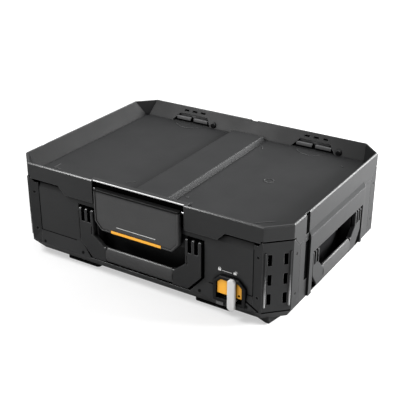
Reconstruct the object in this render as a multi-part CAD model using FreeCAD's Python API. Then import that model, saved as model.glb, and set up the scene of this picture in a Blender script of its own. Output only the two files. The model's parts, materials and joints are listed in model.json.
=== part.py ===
import FreeCAD, Part
import math
import os

os.makedirs("parts", exist_ok=True)

Vector = FreeCAD.Vector

# Driving dimensions of the whole box, in millimetres.
BOX_LENGTH = 558.0
BOX_DEPTH = 417.0
BOX_HEIGHT = 185.0
CORNER_CHAMFER = 36.0
FOOT_HEIGHT = 14.0
BEVEL_DROP = 14.0
BEVEL_INSET = 8.5
BEVEL_CORNER = 48.0
LID_HEIGHT = 45.0
SEAM_GAP = 0.6
CUT_OVERRUN = 2.0

# Base shell.
SIDE_WALL = 8.0
FRONT_WALL = 11.0
FLOOR_WALL = 5.0
CAVITY_CHAMFER = 40.0
RIM_FLANGE_WIDTH = 22.0
RIM_FLANGE_THICK = 5.0
FRONT_RECESS = 5.0
FRONT_STRIP = 19.0
BOTTOM_BAND = 25.0

# Corner shoulders of the base, which rise into notches of the lid.
SHOULDER_RISE = 17.0
LEDGE_RISE = 8.0
SHOULDER_DEPTH = 10.0
SHOULDER_SLANT = 15.0
LEDGE_START = 159.0
SHOULDER_SIDE_START = 152.0
SHOULDER_SLIT = 3.0
SHOULDER_BACK_GAP = 2.5
LEDGE_SLIT = 7.5
SHOULDER_END_GAP = 1.0
LEDGE_DROP = 11.0
LEDGE_INSET = 4.0

# Proud panels that carry the side handles, and the upright grooves at their ends.
PANEL_PROUD = 4.0
PANEL_FRONT_REACH = 117.5
PANEL_REAR_REACH = 112.0
PANEL_LIP_RISE = 9.0
GROOVE_WIDTH = 12.5
REAR_GROOVE_WIDTH = 5.0
GROOVE_DEPTH = 6.5
LID_GROOVE_DEPTH = 3.0
GROOVE_LID_DROP = 37.0
GROOVE_FRONT_TOP_SHARE = 0.955
GROOVE_FRONT_END_SHARE = 0.3125
GROOVE_REAR_TOP_SHARE = 0.643

# Toe under the front right corner.
TOE_FRONT_INSET = 17.5
TOE_SIDE_INSET = 30.0
TOE_REAR_SIDE_INSET = 17.0
TOE_WIDTH = 40.0
TOE_TIP_WIDTH = 6.0
TOE_LENGTH = 67.0
TOE_CLEARANCE = 2.0

# Lid shell with its sunken tray.
LID_WALL = 5.0
TRAY_DEPTH = 28.0
TRAY_FLOOR = 3.0
TRAY_SLOPE_INSET = 27.0
TRAY_FLOOR_CHAMFER = 4.0
RIM_WIDTH = 4.0
RIM_EDGE = 2.0
BAR_TOP_HALF = 34.5
BAR_FOOT_HALF = 39.5
BAR_HEIGHT = 9.5
BAR_END_GAP = 5.5
BAR_EDGE = 1.2
RIM_NOTCH_WIDTH = 14.0
RIM_NOTCH_DEPTH = 2.5

# Windows in the tray's rear wall, their inserts, vents and bosses.
WINDOW_CENTRE = 141.0
WINDOW_FOOT_WIDTH = 92.0
WINDOW_TOP_WIDTH = 66.0
WINDOW_HEIGHT = 14.0
WINDOW_LIFT = 1.0
WINDOW_BACK_INSET = 10.5
RECEIVER_PLATE = 3.0
RECEIVER_BAR_WIDTH = 33.5
RECEIVER_BAR_SPACING = 41.0
RECEIVER_BAR_HEIGHT = 6.0
RECEIVER_BAR_DEPTH = 8.0
RECEIVER_BAR_LIFT = 2.8
RECEIVER_CLEARANCE = 0.2
VENT_WIDTH = 11.0
VENT_HEIGHT = 3.0
VENT_SPACING = 20.0
VENT_DROP = 7.0
VENT_DEPTH = 4.0
BOSS_RADIUS = 5.2
BOSS_OFFSET = 54.0
BOSS_LIFT = 5.6
BOSS_REACH = 4.0

# Lid seal on its rib.
GASKET_INSET = 14.0
GASKET_WIDTH = 5.0
GASKET_HEIGHT = 5.0
GASKET_GAP = 0.3
RIB_WIDTH = 3.0

# Rear hinges.
HINGE_CENTRE = 130.0
HINGE_SETBACK = 1.0
HINGE_RISE = 13.0
KNUCKLE_RADIUS = 5.0
KNUCKLE_LENGTH = 12.0
KNUCKLE_GAP = 0.4
LUG_DROP = 26.0
HINGE_PIN_RADIUS = 2.0
RUNNING_CLEARANCE = 0.05
LID_SLOT_CLEARANCE = 0.8
LID_SLOT_RISE = 7.0
LID_SLOT_DEPTH = 9.0

# Front latch plate.
LATCH_HALF = 88.0
LATCH_TOP_DROP = 12.5
LATCH_BOTTOM_SHARE = 0.603
LATCH_CORNER_WIDTH = 14.0
LATCH_CORNER_HEIGHT = 16.0
LATCH_PROUD = 6.0
LATCH_THICK = 10.0
LATCH_BORDER = 3.3
LATCH_FACE_SINK = 1.2
LATCH_EDGE = 1.2
LATCH_BARREL_RADIUS = 3.5
LATCH_PIN_RADIUS = 2.0
LATCH_PIN_SEAT = 9.0
LATCH_RECESS_GAP = 7.0
LATCH_RECESS_DEPTH = 9.0
LATCH_BACKING = 4.0
LATCH_LIP_SETBACK = 4.0
LATCH_LIP_THICK = 1.6
LATCH_CATCH_HALF = 40.0
LATCH_CATCH_SHARE = 0.848
LATCH_CATCH_HEIGHT = 5.0
LATCH_CATCH_REACH = 0.7
STRIP_HALF = 52.5
STRIP_HEIGHT = 5.0
LINE_HALF = 41.0
LINE_HEIGHT = 1.2
LINE_LIFT = 13.5
INLAY_SINK = 0.8
INLAY_PROUD = 0.2

# Swinging handles: what the front and side ones share.
BAIL_THICK = 8.0
BAIL_EDGE = 1.0
BAIL_GAP = 0.5
FINGER_WIDTH = 5.0
FINGER_SLOT = 21.0
LUG_WIDTH_GAP = 0.5
LUG_RADIUS = 2.3
HANDLE_PIN_RADIUS = 1.5
HANDLE_PIN_END = 0.5
GRIP_END = 4.0
GRIP_THICK = 10.0
GRIP_ROUND = 4.6
CORE_MARGIN = 7.0
CORE_THICK = 4.0
ARM_SLIT_WIDTH = 2.2
ARM_SLIT_LENGTH = 17.0
ARM_SLIT_INSET = 3.0
ARM_SLIT_DEPTH = 2.0

# Front handle.
FRONT_ARM_INNER = 97.0
FRONT_ARM_OUTER = 128.0
FRONT_AXIS_SHARE = 0.83
FRONT_THROAT_SHARE = 0.4375
FRONT_KNEE_SHARE = 0.277
FRONT_GRIP_HALF = 75.0
FRONT_GRIP_TOP_SHARE = 0.277
FRONT_BOTTOM_SHARE = 0.018
FRONT_TOE_HALF = 102.0
HOLLOW_HALF = 93.0
HOLLOW_TOP_SHARE = 0.67
HOLLOW_DEPTH = 24.0
HOLLOW_WALL = 3.0
HOLLOW_FLOOR_LIFT = 1.0
BAND_GAP = 4.5
BAND_FLOOR_GAP = 1.2
TRENCH_DEPTH = 3.5
BRACKET_MARGIN = 4.0

# Side handles, in recesses of the proud panels.
SIDE_ARM_INNER = 78.0
SIDE_ARM_OUTER = 102.0
SIDE_AXIS_SHARE = 0.634
SIDE_THROAT_SHARE = 0.42
SIDE_KNEE_SHARE = 0.277
SIDE_GRIP_HALF = 61.0
SIDE_GRIP_TOP_SHARE = 0.268
SIDE_BOTTOM_SHARE = 0.018
SIDE_TOE_HALF = 80.0
SIDE_RECESS_MARGIN = 4.0
SIDE_RECESS_DEPTH = 10.0
SIDE_SINK = 1.0
SIDE_HOLLOW_HALF = 74.0
SIDE_HOLLOW_DEPTH = 22.0

# Stacking lock at the front right.
LOCK_PLACE_SHARE = 0.568
LOCK_HALF = 30.5
LOCK_TOP_SHARE = 0.429
LOCK_BOTTOM_SHARE = -0.009
LOCK_CORNER = 13.0
LOCK_PROUD = 5.5
LOCK_RING = 6.0
LOCK_SILL = 6.0
LOCK_PLATE_LIFT = 2.0
LOCK_PLATE_THICK = 3.0
LOCK_PLATE_GAP = 0.3
LOCK_PLATE_HOLE_RADIUS = 2.2
LOCK_PLATE_HOLE_INSET = 6.0
LOCK_SLOT_LIFT = 1.0
LOCK_SLOT_HEIGHT = 5.0
LEVER_HALF = 7.2
LEVER_OFFSET = 6.5
LEVER_TOP_SHARE = 0.4375
LEVER_BOTTOM_SHARE = -0.089
LEVER_THICK = 5.0
LEVER_GAP = 0.4
LEVER_TIP = 4.0
LEVER_EDGE = 1.2
NECK_GAP = 0.5
LOCK_TRAVEL = 23.0
CARRIAGE_HALF = 9.0
CARRIAGE_THICK = 5.0
CARRIAGE_OVERLAP = 4.0
CARRIAGE_GAP = 0.5
LOCK_COVER_THICK = 2.0
LOCK_HOUSING_WALL = 3.0

# Corner guards and their screws.
GUARD_THICK = 4.0
GUARD_SIDE_REACH = 25.0
GUARD_SEAM = 0.9
GUARD_SLOT_WIDTH = 7.0
GUARD_SLOT_HEIGHT_SHARE = 0.18
GUARD_SLOT_SPACING = 27.0
GUARD_SLOT_PITCH_SHARE = 0.32
GUARD_SLOT_SHARE = 0.5536
GUARD_SLOT_POCKET = 6.0
GUARD_RIB_SPACING = 42.0
GUARD_RIB_RADIUS = 1.7
GUARD_RIB_PROUD = 1.9
GUARD_RIB_TOP_SHARE = 0.985
GUARD_RIB_BOTTOM_SHARE = 0.11
SCREW_HEAD_RADIUS = 2.8
SCREW_HEAD_HEIGHT = 2.0
SCREW_SHANK_RADIUS = 1.4
SCREW_LENGTH = 7.0
SCREW_UPPER_SHARE = 0.893
SCREW_LOWER_SHARE = 0.232
SCREW_CLEARANCE = 0.1
SCREW_SIDE_INSET = 12.0

# Feet under the base, which also locate it on a box below.
FOOT_LENGTH = 74.0
FOOT_END_INSET = 101.0
FOOT_SETBACK = 18.5
FOOT_DEPTH = 25.0
FOOT_ROUND = 6.0
FOOT_GROOVE_HEIGHT = 5.0
FOOT_GROOVE_DEPTH = 2.0
FOOT_GROOVE_END = 8.0
FOOT_SCREW_SPACING = 40.0
FOOT_SCREW_HEAD_RADIUS = 4.0
FOOT_SCREW_HEAD_HEIGHT = 3.0
FOOT_SCREW_SINK = 3.0
FOOT_SCREW_SHANK_RADIUS = 2.0
FOOT_SCREW_GRIP = 3.5

# Places worked out from the sizes above.
half_length = BOX_LENGTH / 2
half_depth = BOX_DEPTH / 2
wall_foot = FOOT_HEIGHT + BEVEL_DROP
seam = BOX_HEIGHT - LID_HEIGHT
wall_height = seam - wall_foot
shoulder_top = seam + SHOULDER_RISE
ledge_top = seam + LEDGE_RISE
lid_foot = seam + SEAM_GAP
tray_level = BOX_HEIGHT - TRAY_DEPTH
tray_underside = tray_level - TRAY_FLOOR
cavity_floor = FOOT_HEIGHT + FLOOR_WALL
panel_half = half_length - CORNER_CHAMFER - FRONT_STRIP
panel_plane = -half_depth + FRONT_RECESS
inner_front = -half_depth + FRONT_WALL
side_plane = half_length + PANEL_PROUD
lock_centre = FRONT_ARM_OUTER + LOCK_PLACE_SHARE * (panel_half - FRONT_ARM_OUTER)
hinge_y = half_depth + HINGE_SETBACK
hinge_z = seam + HINGE_RISE
latch_face = -half_depth - LATCH_PROUD
latch_back = latch_face + LATCH_THICK
latch_axis_y = latch_back
latch_axis_z = BOX_HEIGHT - LATCH_TOP_DROP - LATCH_BARREL_RADIUS
latch_recess_back = -half_depth + LATCH_RECESS_DEPTH


def from_rim(drop):
    """Height above the floor of a point that lies this far below the lid's rim."""
    return BOX_HEIGHT - drop


def on_wall(share):
    """Height of a place on the base's wall, as a share of the way from its foot to the seam."""
    return wall_foot + share * wall_height


def block(x_low, x_high, y_low, y_high, z_low, z_high):
    return Part.makeBox(x_high - x_low, y_high - y_low, z_high - z_low, Vector(x_low, y_low, z_low))


def filled(corners):
    return Part.Face(Part.makePolygon(corners + corners[:1]))


def plan_prism(outline, z_low, z_high):
    """Upright prism over an outline in x and y."""
    face = filled([Vector(x, y, z_low) for x, y in outline])
    return face.extrude(Vector(0, 0, z_high - z_low))


def front_prism(outline, y_low, y_high):
    """Prism along y over an outline in x and z."""
    face = filled([Vector(x, y_low, z) for x, z in outline])
    return face.extrude(Vector(0, y_high - y_low, 0))


def side_prism(outline, x_low, x_high):
    """Prism along x over an outline in y and z."""
    face = filled([Vector(x_low, y, z) for y, z in outline])
    return face.extrude(Vector(x_high - x_low, 0, 0))


def rod_x(radius, x_low, x_high, y, z):
    return Part.makeCylinder(radius, x_high - x_low, Vector(x_low, y, z), Vector(1, 0, 0))


def rod_y(radius, y_low, y_high, x, z):
    return Part.makeCylinder(radius, y_high - y_low, Vector(x, y_low, z), Vector(0, 1, 0))


def rod_z(radius, z_low, z_high, x, y):
    return Part.makeCylinder(radius, z_high - z_low, Vector(x, y, z_low), Vector(0, 0, 1))


def ruled(lower, upper):
    """Solid with straight sides between two polygons of equal count."""
    wires = [Part.makePolygon(corners + corners[:1]) for corners in (lower, upper)]
    return Part.makeLoft(wires, True, True)


def at_height(outline, z):
    return [Vector(x, y, z) for x, y in outline]


def flip_x(shape):
    return shape.mirror(Vector(0, 0, 0), Vector(1, 0, 0))


def flip_y(shape):
    return shape.mirror(Vector(0, 0, 0), Vector(0, 1, 0))


def both_sides(shape):
    return [shape, flip_x(shape)]


def joined(shape, extras):
    return shape.fuse(extras).removeSplitter()


def lies_on(edge, coordinate, value):
    """True for an edge whose two ends share this coordinate value."""
    places = [getattr(vertex, coordinate) for vertex in edge.Vertexes]
    return all(abs(place - value) < Part.Precision.confusion() for place in places)


def softened(shape, size, coordinate, value):
    """The shape with the edges on one plane chamfered."""
    edges = [edge for edge in shape.Edges if lies_on(edge, coordinate, value)]
    return shape.makeChamfer(size, edges)


def chamfered_plan(x_low, x_high, y_low, y_high, chamfer):
    """Rectangle in plan with its four corners cut at 45 degrees."""
    return [
        (x_low + chamfer, y_low),
        (x_high - chamfer, y_low),
        (x_high, y_low + chamfer),
        (x_high, y_high - chamfer),
        (x_high - chamfer, y_high),
        (x_low + chamfer, y_high),
        (x_low, y_high - chamfer),
        (x_low, y_low + chamfer),
    ]


def inset_plan(inset):
    """The box's outline in plan, drawn in evenly on all eight sides."""
    chamfer = CORNER_CHAMFER - inset * (2 - math.sqrt(2))
    return chamfered_plan(
        inset - half_length, half_length - inset, inset - half_depth, half_depth - inset, chamfer
    )


def ring(outer_inset, inner_inset, z_low, z_high):
    outside = plan_prism(inset_plan(outer_inset), z_low, z_high)
    return outside.cut(plan_prism(inset_plan(inner_inset), z_low - CUT_OVERRUN, z_high + CUT_OVERRUN))


def save(node, shape):
    shape.exportStep("parts/" + node + ".step")


# Corner shoulders


def shoulder_gap_outline(start):
    """The space between two shoulders, wider at its top by the shoulders' slanted ends."""
    return [
        (-start, seam - CUT_OVERRUN),
        (start, seam - CUT_OVERRUN),
        (start, seam),
        (start + SHOULDER_SLANT, seam + SHOULDER_SLANT),
        (start + SHOULDER_SLANT, BOX_HEIGHT),
        (-start - SHOULDER_SLANT, BOX_HEIGHT),
        (-start - SHOULDER_SLANT, seam + SHOULDER_SLANT),
        (-start, seam),
    ]


def raised_corners(front_start, outer_inset, end_gap, depth, z_low, z_high):
    """Four raised corners of the wall; a positive end gap makes the notch for them."""
    corners = ring(outer_inset, depth, z_low, z_high)
    front_gap = shoulder_gap_outline(front_start - end_gap)
    side_gap = shoulder_gap_outline(SHOULDER_SIDE_START - end_gap)
    corners = corners.cut(front_prism(front_gap, -BOX_DEPTH, BOX_DEPTH))
    return corners.cut(side_prism(side_gap, -BOX_LENGTH, BOX_LENGTH))


def shoulders():
    """The high shoulders at the corners, with the lower ledges beside them."""
    high = raised_corners(panel_half, 0, 0, SHOULDER_DEPTH, seam, shoulder_top)
    return high.fuse(raised_corners(LEDGE_START, 0, 0, SHOULDER_DEPTH, seam, ledge_top))


def shoulder_notches():
    """Room in the lid for the shoulders and ledges, with a slit above each."""
    depth = SHOULDER_DEPTH + SHOULDER_BACK_GAP
    low = lid_foot - CUT_OVERRUN
    gap = SHOULDER_END_GAP
    high = raised_corners(panel_half, -CUT_OVERRUN, gap, depth, low, shoulder_top + SHOULDER_SLIT)
    return high.fuse(raised_corners(LEDGE_START, -CUT_OVERRUN, gap, depth, low, ledge_top + LEDGE_SLIT))


# Swinging handles


def bail_outline(arm_inner, arm_outer, axis_z, throat_z, knee_z, grip_half, grip_top, toe_half, bottom):
    """One arm's corners from the toe up to the pivot and back down to the grip, and the same mirrored."""
    right = [
        (toe_half, bottom),
        (arm_outer, knee_z),
        (arm_outer, axis_z),
        (arm_inner, axis_z),
        (arm_inner, throat_z),
        (grip_half, grip_top),
    ]
    left = [(-x, z) for x, z in reversed(right)]
    return right + left


def finger_gaps(arm_inner, arm_outer):
    """The two spaces between the three fingers of one arm."""
    gap = (arm_outer - arm_inner - 3 * FINGER_WIDTH) / 2
    first = arm_inner + FINGER_WIDTH
    second = first + gap + FINGER_WIDTH
    return [(first, first + gap), (second, second + gap)]


def handle_pieces(
    arm_inner, arm_outer, axis_z, throat_z, knee_z, grip_half, grip_top, toe_half, bottom, seat
):
    """Bail, grip, pins and right lugs of one handle, with its pivot line on y = 0 and its front along -y."""
    half = BAIL_THICK / 2
    outline = bail_outline(
        arm_inner, arm_outer, axis_z, throat_z, knee_z, grip_half, grip_top, toe_half, bottom
    )
    bail = softened(front_prism(outline, -half, half), BAIL_EDGE, "Y", -half)
    bail = joined(bail, both_sides(rod_x(half, arm_inner, arm_outer, 0, axis_z)))
    pin_bore = HANDLE_PIN_RADIUS + RUNNING_CLEARANCE
    bail = bail.cut(rod_x(pin_bore, -arm_outer - CUT_OVERRUN, arm_outer + CUT_OVERRUN, 0, axis_z))
    lugs = []
    for gap_low, gap_high in finger_gaps(arm_inner, arm_outer):
        slot = block(gap_low, gap_high, -BAIL_THICK, BAIL_THICK, axis_z - FINGER_SLOT, axis_z + BAIL_THICK)
        bail = bail.cut(both_sides(slot))
        lug_low = gap_low + LUG_WIDTH_GAP
        lug_high = gap_high - LUG_WIDTH_GAP
        lug = rod_x(LUG_RADIUS, lug_low, lug_high, 0, axis_z)
        lug = lug.fuse(block(lug_low, lug_high, 0, seat, axis_z - LUG_RADIUS, axis_z + LUG_RADIUS))
        lugs.append(lug.cut(rod_x(pin_bore, lug_low - CUT_OVERRUN, lug_high + CUT_OVERRUN, 0, axis_z)))
    slit_low = arm_inner + ARM_SLIT_INSET
    slit = block(
        slit_low,
        slit_low + ARM_SLIT_WIDTH,
        -BAIL_THICK,
        ARM_SLIT_DEPTH - half,
        throat_z,
        throat_z + ARM_SLIT_LENGTH,
    )
    bail = bail.cut(both_sides(slit))
    sleeve_half = grip_half - GRIP_END
    core_half = CORE_THICK / 2
    core_low = bottom + CORE_MARGIN
    core = block(-sleeve_half, sleeve_half, -core_half, core_half, core_low, grip_top - CORE_MARGIN)
    room_low = bottom - CUT_OVERRUN
    room = block(-sleeve_half, sleeve_half, -GRIP_THICK, GRIP_THICK, room_low, grip_top + CUT_OVERRUN)
    bail = bail.cut(room).fuse(core).removeSplitter()
    sleeve = block(-sleeve_half, sleeve_half, -GRIP_THICK / 2, GRIP_THICK / 2, bottom, grip_top)
    long_edges = [edge for edge in sleeve.Edges if edge.Length > GRIP_THICK + grip_top - bottom]
    grip = sleeve.makeFillet(GRIP_ROUND, long_edges).cut(core)
    pin = rod_x(HANDLE_PIN_RADIUS, arm_inner + HANDLE_PIN_END, arm_outer - HANDLE_PIN_END, 0, axis_z)
    return {"bail": bail, "grip": grip, "pin_right": pin, "pin_left": flip_x(pin), "lugs": lugs}


def in_front(shape):
    """Places a handle in the trench of the front panel."""
    moved = shape.copy()
    moved.translate(Vector(0, panel_plane + TRENCH_DEPTH - BAIL_GAP - BAIL_THICK / 2, 0))
    return moved


def on_right(shape):
    """Places a handle in the recess of the right panel."""
    moved = shape.copy()
    moved.rotate(Vector(0, 0, 0), Vector(0, 0, 1), 90)
    moved.translate(Vector(side_plane - SIDE_SINK - BAIL_THICK / 2, 0, 0))
    return moved


front_handle = handle_pieces(
    FRONT_ARM_INNER,
    FRONT_ARM_OUTER,
    on_wall(FRONT_AXIS_SHARE),
    on_wall(FRONT_THROAT_SHARE),
    on_wall(FRONT_KNEE_SHARE),
    FRONT_GRIP_HALF,
    on_wall(FRONT_GRIP_TOP_SHARE),
    FRONT_TOE_HALF,
    on_wall(FRONT_BOTTOM_SHARE),
    BAIL_THICK / 2 + BAIL_GAP + FRONT_WALL - FRONT_RECESS - TRENCH_DEPTH,
)
side_handle = handle_pieces(
    SIDE_ARM_INNER,
    SIDE_ARM_OUTER,
    on_wall(SIDE_AXIS_SHARE),
    on_wall(SIDE_THROAT_SHARE),
    on_wall(SIDE_KNEE_SHARE),
    SIDE_GRIP_HALF,
    on_wall(SIDE_GRIP_TOP_SHARE),
    SIDE_TOE_HALF,
    on_wall(SIDE_BOTTOM_SHARE),
    SIDE_RECESS_DEPTH - SIDE_SINK - BAIL_THICK / 2 + HOLLOW_WALL,
)


# Base tub


def recess_section(depth):
    """Outline of the front recess at one depth; its strips and bottom band slope with depth."""
    share = depth / FRONT_RECESS
    half = half_length - CORNER_CHAMFER - FRONT_STRIP * share
    low = wall_foot + BOTTOM_BAND * share
    y = -half_depth + depth
    corners = [(-half, low), (half, low), (half, BOX_HEIGHT), (-half, BOX_HEIGHT)]
    return [Vector(x, y, z) for x, z in corners]


hollow_floor = wall_foot + HOLLOW_FLOOR_LIFT


def handle_hollow():
    """The finger space behind the front handle's grip."""
    return block(
        -HOLLOW_HALF,
        HOLLOW_HALF,
        -half_depth - CUT_OVERRUN,
        panel_plane + HOLLOW_DEPTH,
        hollow_floor,
        on_wall(HOLLOW_TOP_SHARE),
    )


def handle_room():
    """Trench in the panel and its bottom band that the front handle lies in."""
    low = on_wall(FRONT_BOTTOM_SHARE) - BAND_FLOOR_GAP
    right = [
        (FRONT_TOE_HALF + BAND_GAP, low),
        (FRONT_ARM_OUTER + BAND_GAP, on_wall(FRONT_KNEE_SHARE)),
        (FRONT_ARM_OUTER + BAND_GAP, on_wall(FRONT_AXIS_SHARE) + BAIL_THICK / 2 + BAND_GAP),
    ]
    left = [(-x, z) for x, z in reversed(right)]
    return front_prism(right + left, -half_depth - CUT_OVERRUN, panel_plane + TRENCH_DEPTH)


def front_cup():
    """Walls round the finger space behind the front handle, inside the tub."""
    housing = block(
        -HOLLOW_HALF - HOLLOW_WALL,
        HOLLOW_HALF + HOLLOW_WALL,
        inner_front,
        panel_plane + HOLLOW_DEPTH + HOLLOW_WALL,
        cavity_floor,
        on_wall(HOLLOW_TOP_SHARE) + HOLLOW_WALL,
    )
    return housing.cut(handle_hollow())


def front_bracket_plate():
    """Right-hand plate, let into the wall at the back of the trench."""
    reach = LUG_RADIUS + BRACKET_MARGIN
    low = on_wall(FRONT_AXIS_SHARE) - reach
    back = panel_plane + TRENCH_DEPTH
    return block(FRONT_ARM_INNER, FRONT_ARM_OUTER, back, inner_front, low, low + 2 * reach)


def front_bracket():
    """Right-hand plate with the lugs that carry the front handle's pin."""
    return joined(front_bracket_plate(), [in_front(lug) for lug in front_handle["lugs"]])


side_recess_back = side_plane - SIDE_RECESS_DEPTH
side_plate_back = side_recess_back - HOLLOW_WALL
side_recess_top = on_wall(SIDE_AXIS_SHARE) + BAIL_THICK / 2 + SIDE_RECESS_MARGIN
side_recess_half = SIDE_ARM_OUTER + SIDE_RECESS_MARGIN
side_hollow_back = side_recess_back - SIDE_HOLLOW_DEPTH
side_hollow_top = on_wall(SIDE_AXIS_SHARE) + BAIL_THICK / 2


def side_seat(x_low, x_high):
    """A side handle's seat in the right wall, between two depths."""
    return block(x_low, x_high, -side_recess_half, side_recess_half, wall_foot, side_recess_top)


def side_cup():
    """Back plate of the right seat, with its lugs and the walls of the finger space behind the grip."""
    half = SIDE_HOLLOW_HALF + HOLLOW_WALL
    back = side_hollow_back - HOLLOW_WALL
    reach = half_length - SIDE_WALL
    housing = block(back, reach, -half, half, cavity_floor, side_hollow_top + HOLLOW_WALL)
    fingers = block(
        side_hollow_back, side_plane, -SIDE_HOLLOW_HALF, SIDE_HOLLOW_HALF, hollow_floor, side_hollow_top
    )
    lugs = []
    for lug in side_handle["lugs"]:
        lugs += [on_right(lug), on_right(flip_x(lug))]
    return joined(side_seat(side_plate_back, side_recess_back).fuse(housing).cut(fingers), lugs)


def side_panel():
    return block(half_length - SIDE_WALL, side_plane, -PANEL_FRONT_REACH, PANEL_REAR_REACH, wall_foot, seam)


def groove(y_low, y_high, depth, z_low, z_high):
    return block(half_length - depth, side_plane + CUT_OVERRUN, y_low, y_high, z_low, z_high)


def front_groove(depth, z_low, z_high):
    return groove(-PANEL_FRONT_REACH - GROOVE_WIDTH, -PANEL_FRONT_REACH, depth, z_low, z_high)


def shoulder_ledge():
    """Slope on the outer face of a ledge, from its slanted end to the corner strip."""
    low = ledge_top - LEDGE_DROP
    profile = [
        (panel_plane - CUT_OVERRUN, low),
        (panel_plane, low),
        (panel_plane + LEDGE_INSET, ledge_top),
        (panel_plane + LEDGE_INSET, ledge_top + CUT_OVERRUN),
        (panel_plane - CUT_OVERRUN, ledge_top + CUT_OVERRUN),
    ]
    return side_prism(profile, LEDGE_START - SHOULDER_END_GAP, panel_half)


def toe_plan(width):
    """Outline of the toe in plan at one height; its outer edge runs outward to the rear."""
    front_x = half_length - TOE_SIDE_INSET
    rear_x = half_length - TOE_REAR_SIDE_INSET
    front_y = TOE_FRONT_INSET - half_depth
    rear_y = front_y + TOE_LENGTH
    return [(front_x - width, front_y), (front_x, front_y), (rear_x, rear_y), (rear_x - width, rear_y)]


def corner_toe():
    """Wedge that tapers down from the floor to a narrow tip."""
    tip = at_height(toe_plan(TOE_TIP_WIDTH), TOE_CLEARANCE)
    return ruled(tip, at_height(toe_plan(TOE_WIDTH), FOOT_HEIGHT))


# Corner guards


def corner_frame(shape):
    """Places a shape drawn on y = 0, outward along -y, on the front right chamfer."""
    moved = shape.copy()
    moved.rotate(Vector(0, 0, 0), Vector(0, 0, 1), 45)
    moved.translate(Vector(half_length - CORNER_CHAMFER / 2, CORNER_CHAMFER / 2 - half_depth, 0))
    return moved


guard_chamfer = CORNER_CHAMFER - GUARD_THICK * (2 - math.sqrt(2))
guard_depth = (FRONT_RECESS + 2 * GUARD_THICK + guard_chamfer - CORNER_CHAMFER) / math.sqrt(2)


def guard_region(margin):
    """The outer layer of the front right corner, less a margin along its open edges."""
    back_x = half_length - GUARD_THICK
    back_y = panel_plane + GUARD_THICK
    front_x = panel_half + margin
    side_y = CORNER_CHAMFER + GUARD_SIDE_REACH - half_depth - margin
    outline = [
        (front_x, -half_depth - CUT_OVERRUN),
        (half_length + CUT_OVERRUN, -half_depth - CUT_OVERRUN),
        (half_length + CUT_OVERRUN, side_y),
        (back_x, side_y),
        (back_x, back_y + guard_chamfer),
        (back_x - guard_chamfer, back_y),
        (front_x, back_y),
    ]
    return plan_prism(outline, wall_foot + margin, shoulder_top + CUT_OVERRUN)


def guard_slots(depth):
    slots = []
    half_height_share = GUARD_SLOT_HEIGHT_SHARE / 2
    for column in (-GUARD_SLOT_SPACING / 2, GUARD_SLOT_SPACING / 2):
        for row_share in (-GUARD_SLOT_PITCH_SHARE, 0, GUARD_SLOT_PITCH_SHARE):
            middle_share = GUARD_SLOT_SHARE + row_share
            slot = block(
                column - GUARD_SLOT_WIDTH / 2,
                column + GUARD_SLOT_WIDTH / 2,
                -CUT_OVERRUN,
                depth,
                on_wall(middle_share - half_height_share),
                on_wall(middle_share + half_height_share),
            )
            slots.append(corner_frame(slot))
    return slots


def guard_ribs():
    """Two round upright ribs with domed ends beside the slots."""
    ribs = []
    low = on_wall(GUARD_RIB_BOTTOM_SHARE)
    high = on_wall(GUARD_RIB_TOP_SHARE)
    y = GUARD_RIB_RADIUS - GUARD_RIB_PROUD
    for column in (-GUARD_RIB_SPACING / 2, GUARD_RIB_SPACING / 2):
        ends = [Part.makeSphere(GUARD_RIB_RADIUS, Vector(column, y, z)) for z in (low, high)]
        ribs.append(corner_frame(rod_z(GUARD_RIB_RADIUS, low, high, column, y).fuse(ends)))
    return ribs


def guard_screw(head_radius, shank_radius, head_height, length):
    """Screw with its head's face on the origin and its shank along +y."""
    head = rod_y(head_radius, 0, head_height, 0, 0)
    return head.fuse(rod_y(shank_radius, head_height, length, 0, 0))


def front_strip_place(shape, z):
    """Seats a screw square to the sloped front strip."""
    moved = shape.copy()
    tilt = math.degrees(math.atan2(FRONT_RECESS, FRONT_STRIP))
    moved.rotate(Vector(0, 0, 0), Vector(0, 0, 1), -tilt)
    moved.translate(
        Vector(half_length - CORNER_CHAMFER - FRONT_STRIP / 2, -half_depth + FRONT_RECESS / 2, z)
    )
    return moved


def side_strip_place(shape, z):
    """Seats a screw in the strip beside the corner."""
    moved = shape.copy()
    moved.rotate(Vector(0, 0, 0), Vector(0, 0, 1), 90)
    moved.translate(Vector(half_length, CORNER_CHAMFER + SCREW_SIDE_INSET - half_depth, z))
    return moved


def corner_screws(clearance):
    """The four screws of the front right guard, or the holes for them."""
    screw = guard_screw(
        SCREW_HEAD_RADIUS + clearance,
        SCREW_SHANK_RADIUS + clearance,
        SCREW_HEAD_HEIGHT + clearance,
        SCREW_LENGTH + clearance,
    )
    heights = [on_wall(SCREW_UPPER_SHARE), on_wall(SCREW_LOWER_SHARE)]
    return [front_strip_place(screw, z) for z in heights] + [side_strip_place(screw, z) for z in heights]


def all_corners(shape):
    front_left = flip_x(shape)
    return {
        "front_right": shape,
        "front_left": front_left,
        "rear_right": flip_y(shape),
        "rear_left": flip_y(front_left),
    }


def in_all_corners(shapes):
    """One group of the same pieces in all four corners."""
    return Part.makeCompound([copy for shape in shapes for copy in all_corners(shape).values()])


# Stacking lock


def lock_outline(half, top, bottom, corner):
    return [
        (lock_centre - half, bottom),
        (lock_centre + half, bottom),
        (lock_centre + half, top - corner),
        (lock_centre + half - corner, top),
        (lock_centre - half + corner, top),
        (lock_centre - half, top - corner),
    ]


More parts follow.
